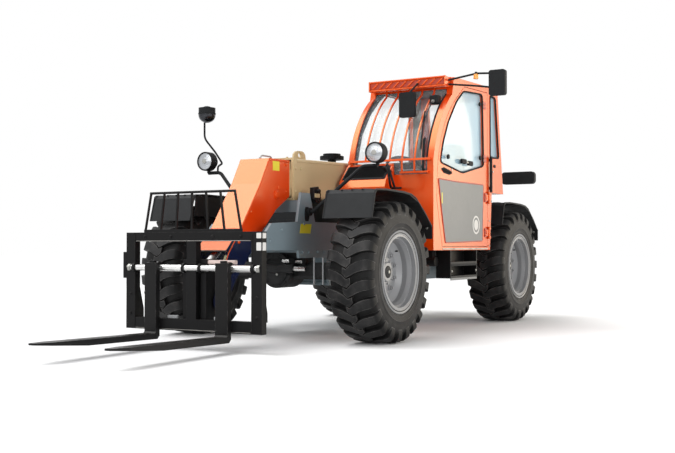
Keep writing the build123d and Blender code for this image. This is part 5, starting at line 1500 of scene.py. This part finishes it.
# ================================================================ cab
class Cab:
    """The cab: seals, lattice visor, wiper, handles, cowl louvres, controls and the roof."""

    left_x: float = 1.080
    screen: tuple[Flat, ...] = (
        (-0.655, 1.560), (-0.628, 1.655), (-0.590, 1.765), (-0.543, 1.862), (-0.470, 1.975), (-0.380, 2.083),
        (-0.300, 2.153), (-0.228, 2.209),
    )
    quarter: tuple[Flat, ...] = ((0.722, 1.690), (0.722, 2.318), (0.868, 2.308), (0.962, 1.700))
    right_window: tuple[Flat, ...] = (
        (-0.560, 1.400), (-0.560, 1.570), (-0.470, 1.840), (-0.300, 2.055), (-0.120, 2.205), (0.040, 2.300),
        (0.640, 2.310), (0.640, 1.400),
    )
    slats: int = 10

    def __init__(self, patterns: Patterns) -> None:
        """Keeps the shared patterns."""
        self.patterns = patterns

    def build(self) -> None:
        """Dresses the shell, the glass, the guard, the cowl and the inside."""
        dress(["cab_shell"], CAB_ORANGE)
        dress(["windscreen_guard", "front_cowl"], ORANGE)
        dress(["cab_glass"], GLASS)
        dress(["dashboard"], PLASTIC)
        self.shell_parts().done("chassis", "orange_paint")
        self.visor().done("chassis", "orange_paint")
        self.cowl().done("chassis", "black_plastic")
        self.wiper().done("chassis", "black_plastic")
        self.controls().done("chassis", "black_plastic")

    def ring(self, outline: Sequence[Flat], x: float, bend: float = 0.03) -> list[Vector]:
        """A closed path with rounded corners round an outline on a side of the cab."""
        points = [Vector((x, y, z)) for y, z in outline]
        middle = (points[-1] + points[0]) / 2
        return bent([middle, *points, middle], bend)[:-1]

    def shell_parts(self) -> Form:
        """Window seals, the grab bar, roof ribs, sill trim and screws."""
        form = Form("cab_trim")
        form.tube(self.ring(self.quarter, self.left_x), 0.0085, SEAL, 8, looped=True)
        form.prism(self.quarter, Bearing.X, (1.0585, 1.0625), SIDE_GLASS, 0.0005)
        form.tube(self.ring(self.right_window, 0.2145), 0.008, SEAL, 8, looped=True)
        for x in (0.2645, 1.0155):
            form.tube([Vector((x, y - 0.003, z + 0.001)) for y, z in self.screen], 0.0075, SEAL, 8)
        low, high = 1.335, 1.700
        form.slab((1.088, 0.680, low), (1.112, 0.712, high), SEAL, 0.008)
        for z in (low + 0.03, high - 0.05):
            form.slab((1.078, 0.686, z), (1.092, 0.706, z + 0.03), PLASTIC, 0.002)
        rib = Form("rib")
        rib.slab((0.33, 0.02, 2.405), (0.365, 0.78, 2.4165), ORANGE, 0.008)
        self.patterns.row(form, rib, ORANGE, 5, (0.148, 0, 0))
        seats = [((self.left_x, y, z), (1, 0, 0)) for y, z in
                 ((0.69, 0.80), (0.69, 1.05), (0.75, 1.25), (0.80, 1.55), (-0.20, 2.30), (0.30, 2.36))]
        self.patterns.bolts(form, seats, 0.007)
        form.slab((1.078, -0.46, 0.765), (1.0835, 0.64, 0.778), STEEL, 0.001, Bearing.X)
        form.slab((1.075, 0.815, 1.595), (1.087, 0.865, 1.625), PLASTIC, 0.004, Bearing.X)
        return form

    def visor(self) -> Form:
        """Slanted slats between the two rails of the roof visor, with its end plates."""
        form = Form("visor_lattice")
        front = -0.3185
        # The backing sheet behind the slats is painted shade in the darker orange.
        form.slab((0.268, front - 0.0035, 2.296), (1.042, front, 2.349), SHADED_ORANGE, 0.001, Bearing.Y)
        slat = Form("slat")
        slat.prism(((0.285, 2.2965), (0.305, 2.2965), (0.362, 2.3485), (0.342, 2.3485)), Bearing.Y,
                   (front - 0.014, front - 0.001), ORANGE, 0.002)
        self.patterns.row(form, slat, ORANGE, self.slats, (0.0745, 0, 0))
        for z in (2.2805, 2.3625):
            form.tube([Vector((0.264, front - 0.004, z)), Vector((1.046, front - 0.004, z))], 0.0095, ORANGE, 10)
        for x in (0.262, 1.048):
            form.slab((x - 0.005, front - 0.02, 2.272), (x + 0.005, front + 0.03, 2.371), ORANGE, 0.003)
        return form

    def cowl(self) -> Form:
        """A louvred black panel on the cowl's sloping face."""
        form = Form("cowl_louvres")
        upper, lower = Vector((0, -0.673, 1.534)), Vector((0, -0.815, 1.395))
        along = lower - upper
        normal = Vector((0, along.z, -along.y)).normalized() * -1
        if normal.z < 0:
            normal = -normal
        first, last = upper + along * 0.06, upper + along * 0.97
        corners = [first + Vector((0.232, 0, 0)), first + Vector((0.672, 0, 0)),
                   last + Vector((0.672, 0, 0)), last + Vector((0.232, 0, 0))]
        form.plate([c + normal * 0.003 for c in corners], 0.003, PLASTIC)
        slat = Form("louvre")
        root = upper + along * 0.13
        ring = [root, root + normal * 0.017 - along * 0.01, root + normal * 0.019, root + along * 0.05]
        slat.skin([[p + Vector((x, 0, 0)) for p in ring] for x in (0.25, 0.654)], PLASTIC)
        self.patterns.row(form, slat, PLASTIC, 9, tuple(along * 0.088))
        seats = [(c.lerp(sum(corners, Vector()) / 4, 0.08) + normal * 0.006, normal) for c in corners]
        self.patterns.bolts(form, seats, 0.006, PLASTIC)
        for shift in (0.0, 0.035):
            hose = [(0.70 - shift, -0.74, 1.465), (0.70 - shift, -0.83, 1.505), (0.79, -0.98, 1.52 - shift),
                    (0.86 - shift, -1.0, 1.33), (0.80 - shift, -0.86, 1.31), (0.78 - shift, -0.70, 1.32)]
            form.tube(bent(hose, 0.07, 8), 0.0105, SEAL, 10)
        return form

    def wiper(self) -> Form:
        """The wiper's motor, arm and blade and the screen's side grip."""
        form = Form("wiper")
        form.slab((0.925, -0.405, 2.105), (1.012, -0.325, 2.185), PLASTIC, 0.01)
        form.rod((0.968, -0.405, 2.13), (0.968, -0.428, 2.122), 0.014, ZINC, 16)
        arm = [(0.968, -0.424, 2.124), (0.962, -0.50, 2.04), (0.951, -0.61, 1.87)]
        form.tube(bent(arm, 0.03), 0.0055, PLASTIC, 8)
        blade = [(0.935, -0.517, 2.02), (0.945, -0.577, 1.90), (0.953, -0.625, 1.775), (0.958, -0.655, 1.665)]
        form.tube(blade, 0.008, SEAL, 8)
        grip = [(0.972, -0.60, 1.765), (0.975, -0.625, 1.755), (0.994, -0.69, 1.49), (0.994, -0.665, 1.465)]
        form.tube(bent(grip, 0.02), 0.0125, PLASTIC, 12)
        return form

    def controls(self) -> Form:
        """The instrument hood, dials, levers, joystick console, pedals and a pale dash rail."""
        form = Form("controls")
        form.prism(((-0.52, 1.455), (-0.50, 1.555), (-0.42, 1.575), (-0.375, 1.47)), Bearing.X, (0.53, 0.77), PLASTIC,
                   0.006)
        for x in (0.585, 0.65, 0.715):
            form.turned(((0, 0.024), (0.004, 0.024), (0.005, 0.019), (0.002, 0.018)), (x, -0.399, 1.525),
                        (0, 0.92, 0.38), ZINC, 24)
            form.turned(((0.0, 0.018), (0.003, 0.018)), (x, -0.399, 1.525), (0, 0.92, 0.38), WHITE_LABEL, 24)
        form.slab((0.70, -0.604, 1.484), (0.92, -0.590, 1.493), GREY_PLASTIC, 0.003)
        for side in (-1, 1):
            stalk = [(0.65 + side * 0.03, -0.385, 1.475), (0.65 + side * 0.16, -0.365, 1.505)]
            form.tube(stalk, 0.0055, PLASTIC, 8)
        form.slab((0.315, -0.05, 1.085), (0.425, 0.52, 1.345), PLASTIC, 0.02)
        form.tube(bent([(0.37, 0.04, 1.34), (0.37, 0.02, 1.43)], 0.01), 0.009, ZINC, 10)
        form.turned(((0.0, 0.014), (0.03, 0.024), (0.07, 0.026), (0.09, 0.018), (0.095, 0.006)), (0.37, 0.025, 1.41),
                    (0, -0.15, 1), PLASTIC, 16)
        for x in (0.545, 0.74):
            form.plate([(x - 0.03, -0.47, 0.90), (x + 0.03, -0.47, 0.90), (x + 0.03, -0.53, 1.02),
                        (x - 0.03, -0.53, 1.02)], 0.006, SEAL)
        return form


class Door:
    """The cab door: lower panel, window seal, hinges, latch and handles."""

    skin_x: float = 1.080
    window: tuple[Flat, ...] = (
        (-0.505, 1.556), (0.008, 1.490), (0.540, 1.592), (0.508, 2.300), (0.040, 2.270), (-0.135, 2.150),
        (-0.330, 1.935), (-0.450, 1.730),
    )
    panel: tuple[Flat, ...] = (
        (-0.549, 1.404), (-0.10, 1.398), (0.528, 1.403), (0.512, 1.10), (0.500, 0.848), (-0.398, 0.828),
        (-0.475, 1.10),
    )

    def __init__(self, cab: Cab, patterns: Patterns) -> None:
        """Keeps the cab, for its rounded outlines, and the shared patterns."""
        self.cab = cab
        self.patterns = patterns

    def build(self) -> None:
        """Dresses the door and its glass and adds its fittings."""
        dress(["left_door"], CAB_ORANGE)
        dress(["left_door_glass"], SIDE_GLASS)
        form = Form("door_fittings")
        x = self.skin_x
        form.tube(self.cab.ring(self.window, x + 0.0005, 0.045), 0.0085, SEAL, 8, looped=True)
        form.prism(self.panel, Bearing.X, (x - 0.002, x + 0.0045), PANEL_GREY, 0.002)
        # The rim round the door panel is painted shade in the darker orange.
        form.tube(self.cab.ring(self.panel, x + 0.001, 0.02), 0.0065, SHADED_ORANGE, 8, looped=True)
        self.marks(form)
        self.glass_hardware(form)
        self.handles(form)
        form.done("door", "orange_paint")

    def marks(self, form: Form) -> None:
        """A blank round badge and a blank upright label on the panel."""
        x = self.skin_x + 0.004
        form.turned(((0.0, 0.09), (0.0016, 0.089), (0.0016, 0.073), (0.0, 0.072)), (x, 0.335, 1.003), (1, 0, 0),
                    WHITE_LABEL, 48, looped=True)
        form.turned(((0.0, 0.052), (0.0014, 0.051)), (x, 0.335, 1.003), (1, 0, 0), WHITE_LABEL, 40)
        form.prism(((-0.484, 1.185), (-0.466, 1.185), (-0.466, 1.282), (-0.484, 1.282)), Bearing.X, (x, x + 0.0015),
                   YELLOW_LABEL, 0.0005)

    def glass_hardware(self, form: Form) -> None:
        """Two window hinges, the window's latch and its stud."""
        x = self.skin_x
        for y, z in ((0.494, 2.195), (0.503, 1.665)):
            # The window hinges are painted shade in the darker orange.
            form.slab((x, y - 0.005, z - 0.034), (x + 0.016, y + 0.085, z - 0.006), SHADED_ORANGE, 0.006)
            form.slab((x, y - 0.005, z + 0.006), (x + 0.016, y + 0.085, z + 0.034), SHADED_ORANGE, 0.006)
            form.rod((x + 0.009, y, z - 0.04), (x + 0.009, y, z + 0.04), 0.0085, PLASTIC, 12)
            form.rod((x - 0.004, y - 0.055, z), (x + 0.012, y - 0.055, z), 0.020, PLASTIC, 20)
        form.slab((x - 0.006, -0.035, 1.578), (x + 0.018, 0.075, 1.622), PLASTIC, 0.008, Bearing.X)
        form.slab((x - 0.006, 0.13, 1.570), (x + 0.018, 0.235, 1.614), PLASTIC, 0.008, Bearing.X)
        form.slab((x + 0.002, 0.06, 1.588), (x + 0.013, 0.15, 1.604), ZINC, 0.003, Bearing.X)
        form.rod((x - 0.006, -0.332, 1.618), (x + 0.011, -0.332, 1.618), 0.021, PLASTIC, 20)

    def handles(self, form: Form) -> None:
        """The sunk handle, the lock and the hinge leaves' bolts."""
        x = self.skin_x
        dish = ((-0.492, 1.500), (-0.43, 1.515), (-0.30, 1.498), (-0.232, 1.470), (-0.30, 1.452), (-0.43, 1.462))
        form.prism(dish, Bearing.X, (x - 0.001, x + 0.0018), SEAL, 0.0008)
        form.tube(bent([(x, -0.455, 1.486), (x + 0.02, -0.43, 1.49), (x + 0.02, -0.30, 1.48), (x, -0.275, 1.474)],
                       0.02), 0.0075, PLASTIC, 10)
        form.rod((x, -0.245, 1.505), (x + 0.004, -0.245, 1.505), 0.011, ZINC, 16)
        # The door hinge leaves are painted shade in the darker orange.
        form.slab((x, 0.555, 0.885), (x + 0.008, 0.625, 0.975), SHADED_ORANGE, 0.006, Bearing.X)
        form.slab((x, 0.555, 1.235), (x + 0.008, 0.625, 1.325), SHADED_ORANGE, 0.006, Bearing.X)
        seats = [((x + 0.008, 0.575, z), (1, 0, 0)) for z in (0.905, 0.955, 1.255, 1.305)]
        self.patterns.bolts(form, seats, 0.007, ORANGE)


class Seat:
    """The driver's seat: a crowned cushion and back with seams, on a sprung base."""

    def build(self) -> None:
        """Makes the padding and the base in the room of the CAD seat."""
        low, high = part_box("driver_seat")
        middle = (low.x + high.x) / 2
        cushion = self.pad("seat_cushion", (middle, 0.315, 1.172), (0.208, 0.232, 0.055), (0, 0, 1), 0.0)
        back = self.pad("seat_back", (middle, 0.562, 1.515), (0.205, 0.052, 0.315), (0, -1, 0), -7.0)
        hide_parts("driver_seat")
        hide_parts("driver_seat")
        form = Form("seat_base")
        form.slab((middle - 0.19, 0.10, 1.105), (middle + 0.19, 0.56, 1.128), PLASTIC, 0.01)
        self.bellows(form, middle, low.z)
        for side in (-1, 1):
            form.slab((middle + side * 0.2 - 0.009, 0.52, 1.14), (middle + side * 0.2 + 0.009, 0.60, 1.33), PLASTIC,
                      0.006)
        form.rod((middle - 0.09, 0.60, 1.80), (middle + 0.09, 0.60, 1.80), 0.012, PLASTIC, 12)
        piece = form.done("chassis", "black_plastic")
        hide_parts("driver_seat")

    def bellows(self, form: Form, middle: float, floor: float) -> None:
        """A folded rubber skirt between the cab floor and the seat's pan."""
        rows = []
        folds = 5
        height = 1.106 - floor
        for i in range(folds * 2 + 1):
            shrink = 0.0 if i % 2 == 0 else 0.02
            z = floor + height * i / (folds * 2)
            a, b = 0.165 - shrink, 0.185 - shrink
            cut = 0.03
            rows.append([Vector((middle + x, 0.33 + y, z)) for x, y in
                         ((-a + cut, -b), (a - cut, -b), (a, -b + cut), (a, b - cut), (a - cut, b), (-a + cut, b),
                          (-a, b - cut), (-a, -b + cut))])
        form.skin(rows, SEAL)

    def pad(self, name: str, centre: Point, half: Point, face: Point, lean: float) -> bpy.types.Object:
        """One stuffed pad: a rounded block, crowned on its face, with two sewn seams.

        Args:
            name: The piece's name.
            centre: Its middle.
            half: Its half sizes.
            face: The way that the padded face looks.
            lean: How far it leans about X, in degrees.
        """
        mesh = bmesh.new()
        bmesh.ops.create_cube(mesh, size=2.0)
        bmesh.ops.subdivide_edges(mesh, edges=mesh.edges, cuts=13, use_grid_fill=True)
        looks = Vector(face)
        turn = Matrix.Rotation(math.radians(lean), 3, "X")
        for vert in mesh.verts:
            p = vert.co.copy()
            size = (abs(p.x) ** 7 + abs(p.y) ** 7 + abs(p.z) ** 7) ** (1 / 7)
            p /= size
            out = max(0.0, p.dot(looks))
            rest = p - looks * p.dot(looks)
            crown = 1.0 - 0.22 * rest.length_squared * out
            wings = 0.14 * out * min(1.0, abs(p.x) ** 4)
            seam = sum(math.exp(-((p.x - at) / 0.045) ** 2) for at in (-0.56, 0.56)) * 0.16 * out
            across = rest.z if abs(looks.y) > 0.5 else rest.y
            seam += math.exp(-((across - 0.38) / 0.05) ** 2) * 0.12 * out
            p = rest + looks * p.dot(looks) * (crown - seam + wings)
            vert.co = Vector(centre) + turn @ Vector((p.x * half[0], p.y * half[1], p.z * half[2]))
        bmesh.ops.recalc_face_normals(mesh, faces=mesh.faces)
        data = bpy.data.meshes.new(name)
        mesh.to_mesh(data)
        mesh.free()
        data.materials.append(SEAT_CLOTH.material())
        for poly in data.polygons:
            poly.use_smooth = True
        made = bpy.data.objects.new(name, data)
        bpy.context.scene.collection.objects.link(made)
        soft = made.modifiers.new("soft", "SUBSURF")
        soft.levels = 1
        soft.render_levels = 1
        bpy.context.view_layer.update()
        smooth = bpy.data.meshes.new_from_object(made.evaluated_get(bpy.context.evaluated_depsgraph_get()))
        made.modifiers.clear()
        made.data = smooth
        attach(made, "chassis")
        return made


# ================================================================ engine pod, lamps and mirrors
class EnginePod:
    """The engine's housing and hood: louvres, latches, exhaust, filler and the air intake."""

    side_x: float = -1.080

    def __init__(self, patterns: Patterns) -> None:
        """Keeps the shared patterns."""
        self.patterns = patterns

    def build(self) -> None:
        """Dresses the pod."""
        dress(["engine_housing", "engine_hood"], GRAPHITE)
        dress(["air_precleaner"], PLASTIC)
        self.hood().done("hood", "black_plastic")
        self.housing().done("chassis", "black_plastic")

    def hood(self) -> Form:
        """Side louvres, latches and the hood's lifting handle."""
        form = Form("hood_fittings")
        x = self.side_x
        form.slab((x - 0.003, -0.32, 1.075), (x + 0.001, 0.36, 1.215), PLASTIC, 0.002, Bearing.X)
        slat = Form("louvre")
        slat.prism(((x - 0.016, 1.088), (x - 0.001, 1.096), (x - 0.001, 1.084), (x - 0.014, 1.083)), Bearing.Y,
                   (-0.30, 0.34), PLASTIC, 0.001)
        self.patterns.row(form, slat, PLASTIC, 7, (0, 0, 0.0175))
        for y in (-0.42, 0.42):
            form.slab((x - 0.012, y - 0.02, 1.056), (x, y + 0.02, 1.13), SEAL, 0.004, Bearing.X)
        form.tube(bent([(x, -0.04, 1.235), (x - 0.03, -0.04, 1.235), (x - 0.03, 0.12, 1.235), (x, 0.12, 1.235)], 0.02),
                  0.008, PLASTIC, 10)
        return form

    def housing(self) -> Form:
        """The front grille, side vents as dark strips of painted shade, exhaust, fuel filler, intake ribs and panel
        bolts.
        """
        form = Form("pod_fittings")
        front = -0.650
        form.slab((-1.02, front - 0.004, 0.80), (-0.40, front + 0.001, 1.02), PLASTIC, 0.002, Bearing.Y)
        bar = Form("bar")
        bar.slab((-1.0, front - 0.012, 0.815), (-0.42, front - 0.003, 0.822), PLASTIC, 0.0015)
        self.patterns.row(form, bar, PLASTIC, 12, (0, 0, 0.0165))
        x = self.side_x
        # The side vents are flat dark strips on the panel: painted shade for their openings.
        vent = Form("vent")
        vent.prism(((-0.53, 0.83), (-0.515, 0.83), (-0.515, 0.99), (-0.53, 0.99)), Bearing.X, (x - 0.004, x + 0.001),
                   SEAL, 0.001)
        self.patterns.row(form, vent, SEAL, 14, (0, 0.026, 0))
        seats = [((x, y, z), (-1, 0, 0)) for y in (-0.60, -0.1, 0.40, 0.66) for z in (0.785, 1.025)]
        seats += [((x, y, z), (-1, 0, 0)) for y in (0.50, 0.68) for z in (1.12, 1.30)]
        self.patterns.bolts(form, seats, 0.007)
        form.rod((-0.45, 0.60, 1.395), (-0.45, 0.60, 1.62), 0.034, STEEL, 24)
        form.rod((-0.45, 0.60, 1.43), (-0.45, 0.60, 1.55), 0.046, BLACK, 24)
        form.tube(bent([(-0.45, 0.60, 1.60), (-0.45, 0.60, 1.68), (-0.45, 0.68, 1.71)], 0.06), 0.031, STEEL, 20)
        cap = ((0, 0.05), (0.018, 0.05), (0.03, 0.044), (0.034, 0.03))
        form.turned(cap, (-0.97, 0.59, 1.398), (0, 0, 1), PLASTIC, 24)
        rib = Form("rib")
        rib.slab((0.1265, -0.0035, 1.737), (0.1305, 0.0035, 1.772), PLASTIC, 0.001)
        self.patterns.ring(form, rib, PLASTIC, 28, (-0.700, 0.600, 0.0), (0, 0, 1))
        form.turned(((0, 0.05), (0.012, 0.05), (0.012, 0.048), (0, 0.048)), (-0.70, 0.60, 1.50), (0, 0, 1), ZINC, 32,
                    looped=True)
        return form


class Lights:
    """Headlamps, rear lamps and mirrors."""

    lamp: Point = (0.884, -1.345, 1.580)
    lamp_radius: float = 0.088

    def __init__(self, patterns: Patterns) -> None:
        """Keeps the shared patterns."""
        self.patterns = patterns

    def build(self) -> None:
        """Dresses the lamps and the mirrors."""
        dress(["headlamps", "mirrors", "rear_lights"], PLASTIC)
        form = Form("lenses")
        for side in (1, -1):
            self.headlamp(form, side)
            self.rear_lamp(form, side)
        form.done("chassis", "black_plastic")
        self.mirrors().done("chassis", "black_plastic")

    def headlamp(self, form: Form, side: int) -> None:
        """The lens, bezel and bracket bolts of one headlamp."""
        x, y, z = self.lamp
        at = (side * x, y - 0.055, z)
        r = self.lamp_radius
        form.turned(((-0.004, r * 0.99), (0.010, r * 0.99), (0.013, r * 0.94), (0.010, r * 0.87), (-0.004, r * 0.86)),
                    at, (0, -1, 0), BLACK, 40, looped=True)
        form.turned(((0.001, r * 0.88), (0.006, r * 0.86), (0.011, r * 0.66), (0.0145, r * 0.36), (0.016, 0.0)),
                    at, (0, -1, 0), CLEAR_LENS, 40)
        form.turned(((0.0135, 0.024), (0.019, 0.022), (0.02, 0.014)), at, (0, -1, 0), ZINC, 20)
        self.patterns.bolts(form, [((side * x + s * 0.03, y + 0.056, z - 0.03), (0, 1, 0)) for s in (-1, 1)], 0.006)

    def rear_lamp(self, form: Form, side: int) -> None:
        """Three lenses across the back of one rear lamp."""
        back = 2.110
        inner, outer = 0.72, 1.07
        for start, end, finish in ((0.0, 0.3, CLEAR_LENS), (0.33, 0.65, RED_LENS), (0.68, 1.0, AMBER_LENS)):
            xs = sorted(side * (inner + (outer - inner) * share) for share in (start, end))
            form.slab((xs[0], back - 0.002, 1.522), (xs[1], back + 0.008, 1.618), finish, 0.012, Bearing.Y)

    def mirrors(self) -> Form:
        """Mirror glasses, the bright bowl of the dome mirror and the amber lamp on the mirror's arm."""
        form = Form("mirror_glasses")
        form.slab((1.464, -0.213, 2.174), (1.592, -0.2095, 2.378), MIRROR, 0.012, Bearing.Y)
        form.slab((0.704, -0.521, 1.990), (0.836, -0.5175, 2.190), MIRROR, 0.012, Bearing.Y)
        bowl = [(0.0, 0.0795), (-0.02, 0.078), (-0.045, 0.068), (-0.063, 0.05), (-0.074, 0.028), (-0.0785, 0.0)]
        form.turned(bowl, (-0.901, -1.353, 2.02), (0, 0, 1), DARK_CHROME, 36)
        form.turned(((0.0, 0.0805), (0.012, 0.082), (0.012, 0.078), (0.0, 0.078)), (-0.901, -1.353, 2.018), (0, 0, 1),
                    PLASTIC, 36, looped=True)
        form.rod((1.318, -0.237, 2.325), (1.318, -0.237, 2.372), 0.024, AMBER_LENS, 20, 0.006)
        form.rod((1.318, -0.237, 2.368), (1.318, -0.237, 2.392), 0.012, PLASTIC, 16)
        return form


def main() -> None:
    """Builds the studio and every sub-assembly."""
    logging.basicConfig(level=logging.INFO, format="%(name)s: %(message)s")
    patterns = Patterns()
    Studio().build()
    RunningGear(patterns).build()
    Chassis(patterns).build()
    Boom(patterns).build()
    Carriage(patterns).build()
    cab = Cab(patterns)
    cab.build()
    Door(cab, patterns).build()
    Seat().build()
    EnginePod(patterns).build()
    Lights(patterns).build()


if __name__ == "__main__":
    main()
